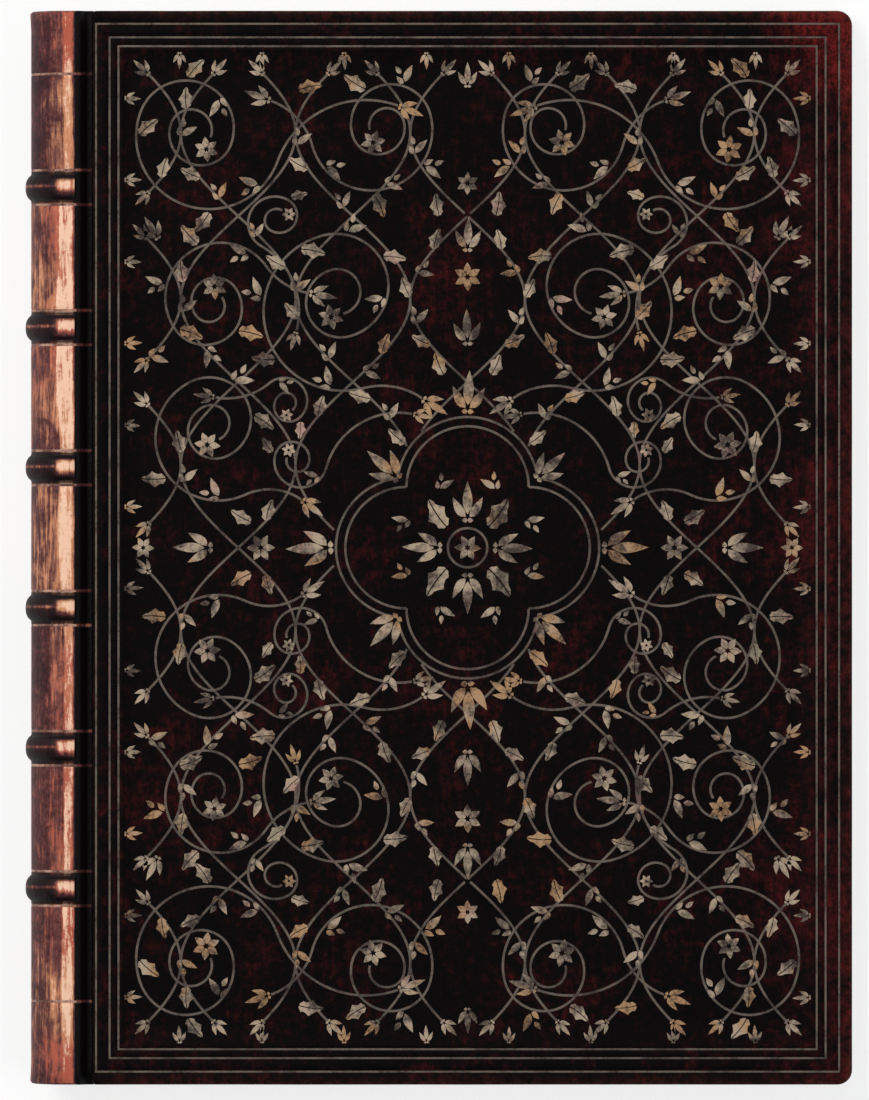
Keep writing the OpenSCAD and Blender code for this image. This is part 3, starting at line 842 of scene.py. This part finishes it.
def buildEndpaper(side):
    form = endpaperForm
    inner = turnInZ - form["thick"]
    fore = foreX - form["square"]
    room = (jointX + 0.6, foreX - coverForm["turnIn"], headY - coverForm["turnIn"])
    xs = spread(form["hingeStart"], jointX, 26) + [jointX + t for t in (0.25, 0.5, 0.9, 1.4, 2.2, 4)]
    xs += spread(jointX + 8, room[1] - 3, 22) + [room[1] + t for t in spread(-2, 1, 9)]
    xs += spread(room[1] + 3, fore, 4)
    ys = spread(-leafHalf, -room[2] - 2, 3) + [t - room[2] for t in spread(-1, 2, 9)]
    ys += spread(5 - room[2], room[2] - 5, 24) + [room[2] + t for t in spread(-2, 1, 9)]
    ys += spread(room[2] + 2, leafHalf, 3)
    points = []
    for x in xs:
        ring = []
        step = form["softStep"]
        for y in ys:
            inside = smooth(room[0], room[0] + step, x) * smooth(room[1], room[1] - step, x)
            inside *= smooth(room[2], room[2] - step, abs(y))
            uneven = form["unevenness"] * ripple(x, y, 0, 14) * inside
            low = inner + (form["thick"] - form["hingeThick"]) * (1 - smooth(jointX, jointX + 0.5, x))
            lift = form["recess"] * inside
            ring.append((place(x, y, side * (low + lift - uneven)),
                         place(x, y, side * (turnInZ + lift - 0.01))))
        points += [low for low, top in ring] + [top for low, top in ring[::-1]]
    name = "front_endpaper" if side > 0 else "back_endpaper"
    return closedShell(name, points, tubeFaces(len(xs), 2 * len(ys)))


for side, cover in ((1, "front"), (-1, "back")):
    sheet = finishPiece(buildEndpaper(side), endPaper, [cover + "_pastedown"])
    place(endpaperForm["foldStart"], 0, side * blockHalf)
    place(jointForm["foldEnd"], 0, side * blockHalf)
    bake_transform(sheet)


print("leaves")

leafForm = {
    "count": 120,
    "backRadius": 11.6,
    "centre": 14.0,
    "flareEnd": 2.2,
    "slip": 0.12,
    "gap": 0.012,
    "seed": 7,
}


def leafSheet():
    # one leaf, back edge at x = 0, with most of its columns where the back is flared
    form = leafForm
    width = blockFore - form["centre"] + math.sqrt(form["backRadius"] ** 2 - blockHalf ** 2)
    thick = 2 * blockHalf / form["count"] - form["gap"]
    xs = spread(0, 8, 13) + [30, 90, width - form["slip"]]
    ys = (-leafHalf + form["slip"], 0, leafHalf - form["slip"])
    points = []
    for x in xs:
        points += [Vector((x, y, thick / 2)) * mm for y in ys]
        points += [Vector((x, y, -thick / 2)) * mm for y in ys[::-1]]
    return closedShell("leaf", points, tubeFaces(len(xs), 6))


def buildLeaves():
    form = leafForm
    r = form["backRadius"]
    flareX = form["centre"] - math.sqrt(r * r - flareHalf * flareHalf) + 0.4
    graph = Graph("rounded leaves", Count=form["count"], Slip=form["slip"] * mm, Radius=r * mm,
                  Seed=form["seed"], Pitch=2 * blockHalf / form["count"] * mm)
    index = graph.geo("InputIndex")
    half = (form["count"] - 1) / 2
    z = graph.math("MULTIPLY", graph.math("SUBTRACT", index, half), graph.given("Pitch"))
    flareSquare = graph.math("POWER", graph.math("MULTIPLY", z, flareHalf / blockHalf), 2.0)
    radiusSquare = graph.math("POWER", graph.given("Radius"), 2.0)
    swell = graph.math("SQRT", graph.math("SUBTRACT", radiusSquare, flareSquare))
    x = graph.math("SUBTRACT", (form["centre"] + spineLeft) * mm, swell)
    slipX = graph.between(0.0, graph.given("Slip"), graph.given("Seed"))
    slipY = graph.between(graph.math("MULTIPLY", graph.given("Slip"), -1.0), graph.given("Slip"), 3)
    spot = graph.vector(graph.math("ADD", x, slipX), slipY, graph.math("ADD", z, midZ * mm))
    spots = graph.geo("Points", {"Count": graph.given("Count"), "Position": spot})
    stack = graph.geo("InstanceOnPoints", {"Points": spots, "Instance": graph.given("Geometry")})
    stack = graph.geo("RealizeInstances", {0: stack})
    split = graph.tree.nodes.new("ShaderNodeSeparateXYZ")
    graph.tree.links.new(graph.geo("InputPosition"), split.inputs[0])
    flare = graph.node("ShaderNodeMapRange", {}, {
        "Value": split.outputs[0], "From Min": (flareX + spineLeft) * mm,
        "From Max": (flareX + form["flareEnd"] + spineLeft) * mm,
        "To Min": flareHalf / blockHalf - 1, "To Max": 0.0})
    lift = graph.math("MULTIPLY", graph.math("SUBTRACT", split.outputs[2], midZ * mm), flare)
    stack = graph.geo("SetPosition", {"Geometry": stack, "Offset": graph.vector(0.0, 0.0, lift)})
    return graph.grow("leaves", leafSheet(), stack, leafPaper)


finishPiece(buildLeaves(), leafPaper, ["text_block"], "book_block")

rulingForm = {
    "pitch": 7.1,
    "lineWidth": 0.3,
    "inkRise": 0.012,
    "seed": 11,
}


def buildRuling(side):
    form = rulingForm
    low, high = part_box("first_page_ruling" if side > 0 else "last_page_ruling")
    count = round((high.y - low.y) / mm / form["pitch"]) + 1
    z = (midZ + side * (blockHalf + form["inkRise"] / 2 - 0.006)) * mm
    graph = Graph("ruled lines", Count=count, Pitch=form["pitch"] * mm, Width=form["lineWidth"] * mm,
                  Seed=form["seed"])
    index = graph.geo("InputIndex")
    down = graph.math("MULTIPLY", index, graph.given("Pitch"))
    y = graph.math("SUBTRACT", high.y - form["lineWidth"] / 2 * mm, down)
    spots = graph.geo("Points", {"Count": graph.given("Count"),
                                                 "Position": graph.vector((low.x + high.x) / 2, y, z)})
    line = graph.geo("MeshCube", {
        "Size": graph.vector(high.x - low.x, graph.given("Width"), form["inkRise"] * mm), "Vertices X": 9})
    worn = graph.between(0.85, 1.05, graph.given("Seed"))
    lines = graph.geo("InstanceOnPoints", {"Points": spots, "Instance": line,
                                                           "Scale": graph.vector(1.0, worn, 1.0)})
    name = "first_page_lines" if side > 0 else "last_page_lines"
    return graph.grow(name, meshObject("holder", [], []), lines, ink)


finishPiece(buildRuling(1), ink, ["first_page_ruling"], "book_block")
finishPiece(buildRuling(-1), ink, ["last_page_ruling"], "book_block")


print("headbands")

headbandForm = {
    "coreRadius": 0.74,
    "threadRadius": 0.17,
    "centreRadius": 10.9,
    "seat": 0.6,
    "wraps": 60,
    "wrapsOfOneColour": 4,
}


def buildHeadband(end):
    form = headbandForm
    centre = leafForm["centre"]
    reach = math.asin((flareHalf - 1) / form["centreRadius"])
    y = end * (leafHalf + form["seat"])
    path = [place(centre - form["centreRadius"] * math.cos(a), y, form["centreRadius"] * math.sin(a))
            for a in spread(-reach, reach, 49)]
    holder = meshObject("holder", path, [], [(i, i + 1) for i in range(48)])
    graph = Graph("wound headband", CoreRadius=form["coreRadius"] * mm,
                  ThreadRadius=form["threadRadius"] * mm, Wraps=form["wraps"])
    curve = graph.geo("MeshToCurve", {"Mesh": graph.given("Geometry")})
    core = graph.geo("CurvePrimitiveCircle", {"Resolution": 12, "Radius": graph.given("CoreRadius")})
    bead = graph.geo("CurveToMesh", {"Curve": curve, "Profile Curve": core, "Fill Caps": True})
    wrapPath = graph.geo("CurvePrimitiveCircle", {"Resolution": 14, "Radius": graph.math(
        "ADD", graph.given("CoreRadius"), graph.math("MULTIPLY", graph.given("ThreadRadius"), 0.5))})
    strand = graph.geo("CurvePrimitiveCircle", {"Resolution": 6, "Radius": graph.given("ThreadRadius")})
    wrap = graph.geo("CurveToMesh", {"Curve": wrapPath, "Profile Curve": strand})
    spots = graph.tree.nodes.new("GeometryNodeCurveToPoints")
    graph.tree.links.new(curve, spots.inputs["Curve"])
    graph.tree.links.new(graph.given("Wraps"), spots.inputs["Count"])
    index = graph.geo("InputIndex")
    phase = graph.math("MODULO", graph.math("DIVIDE", index, float(form["wrapsOfOneColour"])), 2.0)
    parts = [graph.painted(bead, threads[1])]
    for test, material in zip(("LESS_THAN", "GREATER_EQUAL"), threads):
        pick = graph.node("FunctionNodeCompare", {"data_type": "FLOAT", "operation": test},
                          {0: phase, 1: 1.0})
        wound = graph.geo("InstanceOnPoints", {
            "Points": spots.outputs["Points"], "Selection": pick, "Instance": wrap,
            "Rotation": spots.outputs["Rotation"]})
        parts.append(graph.painted(wound, material))
    return graph.grow("head_headband" if end > 0 else "tail_headband", holder, graph.joined(parts))


finishPiece(buildHeadband(1), None, ["head_band"], "book_block")
finishPiece(buildHeadband(-1), None, ["tail_band"], "book_block")


print("tooling")

foil = {
    "lineWidth": 0.5,
    "thick": 0.05,
    "lineTop": 0.045,
    "stagger": 0.0007,
    "uneven": 0.22,
    "grain": 4.0,
}


def flatShaded(thing):
    thing.data.polygons.foreach_set("use_smooth", [False] * len(thing.data.polygons))
    return thing


def sweepFoil(name, holder, material):
    # ribbons of foil along the holder's edges, a little uneven as a hand tool leaves them
    graph = Graph("foil lines", Width=foil["lineWidth"] * mm, Thickness=foil["thick"] * mm,
                  Uneven=foil["uneven"])
    curve = graph.geo("MeshToCurve", {"Mesh": graph.given("Geometry")})
    pressure = graph.node("ShaderNodeTexNoise", {}, {"Scale": 1 / (foil["grain"] * mm), "Detail": 2.0})
    swing = graph.math("MULTIPLY", graph.math("SUBTRACT", pressure, 0.5), graph.given("Uneven"))
    curve = graph.geo("SetCurveRadius", {"Curve": curve, "Radius": graph.math(
        "ADD", 1.0, graph.math("MULTIPLY", swing, 2.0))})
    ribbon = graph.tree.nodes.new("GeometryNodeCurvePrimitiveQuadrilateral")
    graph.tree.links.new(graph.given("Width"), ribbon.inputs["Width"])
    graph.tree.links.new(graph.given("Thickness"), ribbon.inputs["Height"])
    swept = graph.geo("CurveToMesh", {"Curve": curve, "Profile Curve": ribbon.outputs[0],
                                                       "Fill Caps": True})
    return flatShaded(facedOut(graph.grow(name, holder, swept, material)))


def buildSpineLines():
    points, edges = [], []
    path = [(x, z, h, 1) for x, z, h in spinePath[:0:-1]] + [(x, z, h, -1) for x, z, h in spinePath]
    d = 0.03 - spineForm["lineDip"]
    for y in linePlaces:
        for i, (x, z, heading, side) in enumerate(path):
            if i:
                edges.append((len(points) - 1, len(points)))
            points.append(place(x - d * math.sin(heading), y, side * (z + d * math.cos(heading))))
    return sweepFoil("spine_lines", meshObject("holder", points, [], edges), giltSpine)


finishPiece(buildSpineLines(), giltSpine, ["spine_fillets"], "book_block")


def buildFillets():
    # three ruled frames round the front panel, each a closed ring of foil
    form = coverForm
    points, faces = [], []
    floor = outerZ - toolDepth
    for step in form["filletSteps"]:
        first = len(points)
        low, high = floor - 0.01, floor + foil["thick"]
        near, far = 0.02, form["filletWidth"] - 0.02
        for inset, z in ((near, low), (near, high), (far, high), (far, low)):
            loop = ruledLoop(1, step + inset)
            points += [place(x, y, z) for x, y in loop]
        count = len(loop)
        faces += [(first + i * count + k, first + i * count + (k + 1) % count,
                   first + (i + 1) % 4 * count + (k + 1) % count, first + (i + 1) % 4 * count + k)
                  for i in range(4) for k in range(count)]
    return flatShaded(closedShell("front_lines", points, faces))


finishPiece(buildFillets(), giltLine, ["front_fillets"], "front_cover")


# One quarter of the front's design, drawn for a panel of this half size: scrolls of
# (x, y, radius, start angle, turn, half turns, leaves, stem radius, stem angle)
ornament = {
    "drawnFor": (73.05, 106.15),
    "scrolls": [
        (55.0, 88.0, 15.5, 200, 1, 4, 7, 20, 90),
        (20.5, 89.5, 13.0, 345, -1, 4, 6, 14, 55),
        (52.5, 53.5, 11.8, 145, -1, 4, 6, 14, 45),
        (53.0, 23.5, 13.4, 245, 1, 4, 6, 12, 60),
        (26.5, 50.5, 16.9, 255, 1, 4, 7, 15, 50),
        (35.5, 18.5, 5.6, 195, 1, 3, 2, 16, 85),
        (39.0, 31.5, 4.9, 50, 1, 3, 2, 14, 50),
        (41.0, 69.5, 5.7, 300, 1, 3, 2, 16, 75),
    ],
    "shrink": 0.66,
    "lobe": (13.0, 13.0, 15.0),
    "looseLeaves": [(66, 66.5, 60, 5, "bud"), (36, 98, 160, 5, "leaf"), (6, 71, 70, 5, "leaf"),
                    (5, 37, 60, 5, "leaf"), (46, 5.5, 20, 5, "leaf")],
    "headAxis": ((6.2, 8, "bud"), (29.5, 9, "bud"), (44, 7, "bud"), (58, 6, "flower"), (64, 7, "bud"),
                 (78, 5, "flower"), (99, 5, "bud")),
    "sideAxis": ((6.2, 8, "bud"), (29.5, 9, "bud"), (44, 6, "flower"), (55, 8, "bud"), (69, 5, "flower")),
    "strandPitch": 24.4,
    "strandSwing": 12.2,
    "strandWave": 35.5,
    "strandMargin": 4.6,
    "strandBud": 4.0,
    "gapFill": 6.0,
    "leafReach": 2.3,
    "pendantPitch": 17.5,
    "pendantSize": 3.4,
}


def arcPoints(cx, cy, r, fromAngle, toAngle):
    count = max(int(abs(toAngle - fromAngle) / 180 * math.pi * r / 0.7), 6)
    return [around(cx, cy, r, a) for a in spread(fromAngle, toAngle, count + 1)]


def scrollMarks(scroll, strokes, stamps):
    cx, cy, r, start, turn, halves, leaves, stemR, stemAngle = scroll
    s = ornament["shrink"]
    big = r > 9

    def centre(half):
        # of the half circle with that number; each begins where the last one ends
        return around(cx, cy, r * (1 - s) / (1 + s) * ((-s) ** half - 1), start)

    foot = start + 180 + turn * stemAngle
    chain = arcPoints(*around(cx, cy, r + stemR, start), stemR, foot, start + 180)
    for i in range(halves):
        a = start + turn * 180 * i
        chain = chain[:-1] + arcPoints(*centre(i), r * s ** i, a, a + turn * 180)
    strokes.append(chain)
    last = start + turn * 180 * halves
    flower = 4.6 if big else 2.4
    tip = around(*chain[-1], flower / 2 + 0.45, last + turn * 90)
    stamps.append((*tip, last, 1.25 * flower, "flower"))
    away = start + turn * (stemAngle - 90)
    stamps.append((*around(*chain[0], 0.7, away), away, 5.5 if big else 4.0, "bud"))
    for i in range(leaves):
        a = start + turn * (24 + 320 * i / leaves)
        out = 1 if i % 3 else -1
        half = 0 if turn * (a - start) < 180 else 1
        spot = around(*centre(half), r * s ** half + 0.7 * out, a)
        lean = turn * (28 if out > 0 else 128)
        stamps.append((*spot, a + lean, 5.2 if big else 3.8, "leaf" if i % 2 else "sprig"))


def quarterMarks():
    strokes, stamps = [], []
    for scroll in ornament["scrolls"]:
        scrollMarks(scroll, strokes, stamps)
    off, inner, outer = ornament["lobe"]
    # a quarter of the medallion: halves of two lobes, inner and outer line, and the barb between them
    meet = (off + math.sqrt(2 * outer * outer - off * off)) / 2
    end = math.degrees(math.atan2(meet, meet - off))
    strokes.append(arcPoints(off, 0, inner, 0, 90))
    strokes.append(arcPoints(0, off, inner, 90, 0))
    strokes.append(arcPoints(off, 0, outer, 0, end))
    strokes.append(arcPoints(0, off, outer, 90, 90 - end))
    strokes.append(arcPoints(0, 0, 4.2, 0, 90))
    stamps.append((21.4 * math.sqrt(0.5), 21.4 * math.sqrt(0.5), 45, 8, "bud"))
    stamps.append((6.2 * math.sqrt(0.5), 6.2 * math.sqrt(0.5), 45, 7.2, "leaf"))
    stamps += [(6, 12.5, 115, 4.5, "sprig"), (12.5, 6, -25, 4.5, "sprig")] + ornament["looseLeaves"]
    return strokes, stamps


def stampSpot(stamp):
    # centre and reach of a stamp
    x, y, angle, size, kind = stamp
    half = 0 if kind == "flower" else size / 2
    return (*around(x, y, half, angle), 0.42 * size)


def spaced(stamps):
    # all flowers and buds, and the leaves and sprigs that lie clear of them, of each other and of the axes
    kept = [stamp for stamp in stamps if stamp[4] in ("flower", "bud")]
    for stamp in stamps:
        x, y, reach = stampSpot(stamp)
        others = map(stampSpot, kept)
        clear = all(math.hypot(x - u, y - v) > 0.85 * (reach + other) for u, v, other in others)
        if stamp not in kept and clear and min(x, y) > 0.6 * reach:
            kept.append(stamp)
    return kept


def strandMarks(stamps):
    # ogee strands that cross one another behind the scrolls, outside the medallion, and leaves on them
    halfX, halfY = (size - ornament["strandMargin"] for size in ornament["drawnFor"])
    swing, wave = ornament["strandSwing"], ornament["strandWave"]
    off, _, outer = ornament["lobe"]
    strokes, added = [], []
    taken = [stampSpot(stamp)[:2] for stamp in stamps]
    for k in range(4):
        for sign in (-1, 1):
            chain = []
            for y in spread(0, halfY, 160):
                turn = math.pi * y / wave
                x = k * ornament["strandPitch"] + sign * swing * math.sin(turn)
                clear = min(math.hypot(x - off, y), math.hypot(x, y - off)) > outer + 0.3
                if clear and 0 <= x <= halfX:
                    chain.append((x, y))
                    lean = math.degrees(math.atan2(1, sign * swing * math.cos(turn) * math.pi / wave))
                    side = 1 if len(added) % 2 else -1
                    a = lean + side * 35
                    fx, fy = around(x, y, ornament["leafReach"], a)
                    inside = 3 < fx < halfX and 3 < fy < halfY
                    if inside and min(math.hypot(fx - u, fy - v) for u, v in taken) > ornament["gapFill"]:
                        taken.append((fx, fy))
                        added.append((x, y, a, 4.6, "sprig" if side > 0 else "leaf"))
                elif chain:
                    strokes.append(chain)
                    chain = []
            if chain:
                strokes.append(chain)
    strokes = [stroke for stroke in strokes if len(stroke) > 3]
    for stroke in strokes:
        for (x, y), (x0, y0) in (stroke[:2], stroke[:-3:-1]):
            if max(x / halfX, y / halfY) > 0.96:
                added.append((x, y, math.degrees(math.atan2(y - y0, x - x0)), ornament["strandBud"], "bud"))
    return strokes, added


def axisMarks():
    stamps = []
    for side in (-1, 1):
        for y, size, kind in ornament["headAxis"]:
            stamps.append((0, side * y, side * 90, size, kind))
        for x, size, kind in ornament["sideAxis"]:
            stamps.append((side * x, 0, 90 - side * 90, size, kind))
    return stamps


def pendantMarks():
    # small stamps all along the innermost fillet, pointing inwards
    stamps = []
    halfX, halfY = ornament["drawnFor"]
    pitch, size = ornament["pendantPitch"], ornament["pendantSize"]
    for i in range(int(halfX / pitch)):
        stamps.append(((i + 0.5) * pitch, halfY - 0.4, -90, size, "bud"))
    for i in range(int(halfY / pitch)):
        stamps.append((halfX - 0.4, (i + 0.5) * pitch, 180, size, "bud"))
    return stamps


def stampOutlines(kind):
    # closed outlines of a stamp one unit long, foot at the origin, pointing along x
    def petal(x0, y0, angle, length, wide, lean=0.0):
        c, s = ray(angle)
        ts = spread(0, 1, 7)
        side = [(length * t, way * wide * length * math.sin(math.pi * t ** 0.75) + lean * t * t)
                for way, part in ((1, ts), (-1, ts[-2:0:-1])) for t in part]
        return [(x0 + x * c - y * s, y0 + x * s + y * c) for x, y in side]

    if kind == "flower":
        return [petal(*ray(a, 0.07), a, 0.43, 0.30) for a in range(0, 360, 60)]
    if kind == "bud":
        return [petal(0.12, 0, 0, 0.88, 0.15), petal(0.05, 0.05, 48, 0.62, 0.19, -0.16),
                petal(0.05, -0.05, -48, 0.62, 0.19, 0.16), petal(-0.04, 0, 90, 0.16, 0.4),
                petal(-0.04, 0, -90, 0.16, 0.4)]
    if kind == "sprig":
        return [petal(0.05, 0.03, 22, 0.8, 0.20, 0.12), petal(0.0, -0.04, -52, 0.42, 0.28, 0.1),
                petal(0.42, -0.1, -30, 0.42, 0.26)]
    ts = spread(0.03, 1, 9)
    halves = []
    for side in (-1, 1):
        swells = [0.025 + 0.25 * math.sin(math.pi * t ** 0.8) * (1 + 0.3 * math.sin(15 * t)) for t in ts]
        edge = [(t, 0.16 * t * t + side * swell) for t, swell in zip(ts, swells)]
        halves.append(edge + [(t, 0.16 * t * t + side * 0.02) for t in ts[::-1]])
    return halves


def buildStamp(kind):
    points, faces = [], []
    for shape in stampOutlines(kind):
        first, count = len(points), len(shape)
        points += [Vector((x, y, z)) for z in (0, foil["thick"] * mm) for x, y in shape]
        faces += [tuple(range(first, first + count)), tuple(range(first + count, first + 2 * count))]
        faces += [(first + k, first + (k + 1) % count, first + count + (k + 1) % count, first + count + k)
                  for k in range(count)]
    return closedShell(kind + "Stamp", points, faces)


def buildOrnament():
    atJoint = coverForm["filletJoint"][1]
    half = ((foreX - jointX - atJoint - coverForm["filletEdge"]) / 2 - coverForm["panelStep"],
            headY - coverForm["filletEdge"] - coverForm["panelStep"])
    kx, ky = (half[i] / ornament["drawnFor"][i] for i in (0, 1))
    cx = (jointX + atJoint + foreX - coverForm["filletEdge"]) / 2
    floor = outerZ - toolDepth
    strokes, stamps = quarterMarks()
    stamps = spaced(stamps + pendantMarks())
    strands, leaves = strandMarks(stamps)
    strokes += strands
    stamps = spaced(stamps + leaves)
    points, edges = [], []
    spots = [(x, y, a, size, kind, 1) for x, y, a, size, kind in axisMarks()]
    spots.append((0, 0, 0, 6, "flower", 1))
    for mx in (1, -1):
        for my in (1, -1):
            for level, chain in enumerate(strokes):
                first = len(points)
                z = floor + foil["lineTop"] - foil["thick"] / 2 - foil["stagger"] * level
                points += [place(cx + mx * kx * x, my * ky * y, z) for x, y in chain]
                edges += [(first + i, first + i + 1) for i in range(len(chain) - 1)]
            for x, y, a, size, kind in stamps:
                c, s = ray(a)
                turned = math.degrees(math.atan2(my * s, mx * c))
                spots.append((mx * x, my * y, turned, size, kind, mx * my))
    lines = sweepFoil("front_scrolls", meshObject("holder", points, [], edges), giltLine)
    kinds = ["leaf", "bud", "flower", "sprig"]
    holder = meshObject("holder", [place(cx + kx * spot[0], ky * spot[1], floor) for spot in spots], [])
    pointValues(holder, "angle", [math.radians(spot[2]) for spot in spots])
    pointValues(holder, "size", [min(kx, ky) * spot[3] for spot in spots])
    pointValues(holder, "kind", [float(kinds.index(spot[4])) for spot in spots])
    pointValues(holder, "flip", [float(spot[5]) for spot in spots])
    graph = Graph("foil stamps", Uneven=0.06, Seed=5)
    read = {name: graph.node("GeometryNodeInputNamedAttribute", {"data_type": "FLOAT"}, {"Name": name})
            for name in ("angle", "size", "kind", "flip")}
    jitter = graph.between(graph.math("MULTIPLY", graph.given("Uneven"), -1.0), graph.given("Uneven"),
                           graph.given("Seed"))
    size = graph.math("MULTIPLY", graph.math("MULTIPLY", read["size"], mm), graph.math("ADD", 1.0, jitter))
    turn = graph.vector(0.0, 0.0, graph.math("ADD", read["angle"], jitter))
    scale = graph.vector(size, graph.math("MULTIPLY", size, read["flip"]), 1.0)
    stampObjects = [buildStamp(kind) for kind in kinds]
    parts = []
    for i, thing in enumerate(stampObjects):
        stamp = graph.geo("ObjectInfo", {"Object": thing}, "Geometry")
        pick = graph.node("FunctionNodeCompare", {"data_type": "FLOAT", "operation": "EQUAL"},
                          {0: read["kind"], 1: float(i), 12: 0.1})
        parts.append(graph.geo("InstanceOnPoints", {
            "Points": graph.given("Geometry"), "Selection": pick, "Instance": stamp, "Rotation": turn,
            "Scale": scale}))
    marks = flatShaded(facedOut(graph.grow("front_stamps", holder, graph.joined(parts), giltLeaf)))
    for thing in stampObjects:
        bpy.data.objects.remove(thing)
    return lines, marks


for piece, material in zip(buildOrnament(), (giltLine, giltLeaf)):
    finishPiece(piece, material, ["front_ornament"], "front_cover")


print("scene")

view = {
    "distance": 3.9,
    "above": 0.024,
    "frameHeight": 0.2355,
    "centre": (-0.00080, -0.00049),
    "sensor": 36,
}
studio = {
    "floorSize": 3,
    "floorTone": (0.86, 0.86, 0.86, 1),
    "floorGlow": 0.75,
    "skyTone": (0.9, 0.92, 1, 1),
    "skyStrength": 0.35,
}
plainWhite = (1, 1, 1, 1)
camera = bpy.data.objects.new("camera", bpy.data.cameras.new("camera"))
bpy.context.scene.collection.objects.link(camera)
camera.location = (*view["centre"], view["distance"] + view["above"])
camera.data.sensor_fit = "VERTICAL"
camera.data.sensor_height = view["sensor"]
camera.data.lens = view["sensor"] * view["distance"] / view["frameHeight"]
camera.data.clip_start = 0.01
camera.data.clip_end = 20
bpy.context.scene.camera = camera

reach = studio["floorSize"]
corners = [(-reach, -reach, 0), (reach, -reach, 0), (reach, reach, 0), (-reach, reach, 0)]
floor = meshObject("floor", corners, [(0, 1, 2, 3)])
shade = Shade("pale floor", Base_Color=studio["floorTone"], Roughness=0.8, Specular_IOR_Level=0.1)
seen = 0
for ray in ("Is Camera Ray", "Is Glossy Ray", "Is Transmission Ray"):
    seen = shade.math("MAXIMUM", seen, shade.node("ShaderNodeLightPath", output=ray))
glow = shade.node("ShaderNodeEmission", {}, {"Color": plainWhite, "Strength": 1.0})
plain = Wire(shade, shade.surface.outputs[0])
mixed = shade.node("ShaderNodeMixShader", {}, {0: seen * studio["floorGlow"], 1: plain, 2: glow})
shade.tree.links.new(mixed.socket, shade.tree.nodes["Material Output"].inputs["Surface"])
floor.data.materials.append(shade.material)

world = bpy.data.worlds.new("studio")
world.use_nodes = True
bpy.context.scene.world = world
sky = world.node_tree
dim = sky.nodes["Background"]
dim.inputs["Color"].default_value = studio["skyTone"]
dim.inputs["Strength"].default_value = studio["skyStrength"]
white = sky.nodes.new("ShaderNodeBackground")
white.inputs["Color"].default_value = plainWhite
white.inputs["Strength"].default_value = 1.0
lightPath = sky.nodes.new("ShaderNodeLightPath")
pick = sky.nodes.new("ShaderNodeMixShader")
sky.links.new(lightPath.outputs["Is Camera Ray"], pick.inputs[0])
sky.links.new(dim.outputs[0], pick.inputs[1])
sky.links.new(white.outputs[0], pick.inputs[2])
sky.links.new(pick.outputs[0], sky.nodes["World Output"].inputs["Surface"])

lamps = [
    ("key", (-0.75, 0.45, 0.95), 0.7, 13.5, (1.0, 0.97, 0.92)),
    ("fill", (0.8, -0.5, 1.0), 1.0, 5.5, (0.95, 0.97, 1.0)),
    ("back", (0.1, 1.1, 0.7), 0.8, 4.0, (1.0, 1.0, 1.0)),
]
for name, at, size, power, tint in lamps:
    lamp = bpy.data.objects.new(name, bpy.data.lights.new(name, "AREA"))
    lamp.data.size = size
    lamp.data.energy = power
    lamp.data.color = tint
    lamp.location = at
    lamp.rotation_euler = (-Vector(at)).to_track_quat("-Z", "Y").to_euler()
    bpy.context.scene.collection.objects.link(lamp)

bpy.context.scene.view_settings.view_transform = "Standard"
print("done")
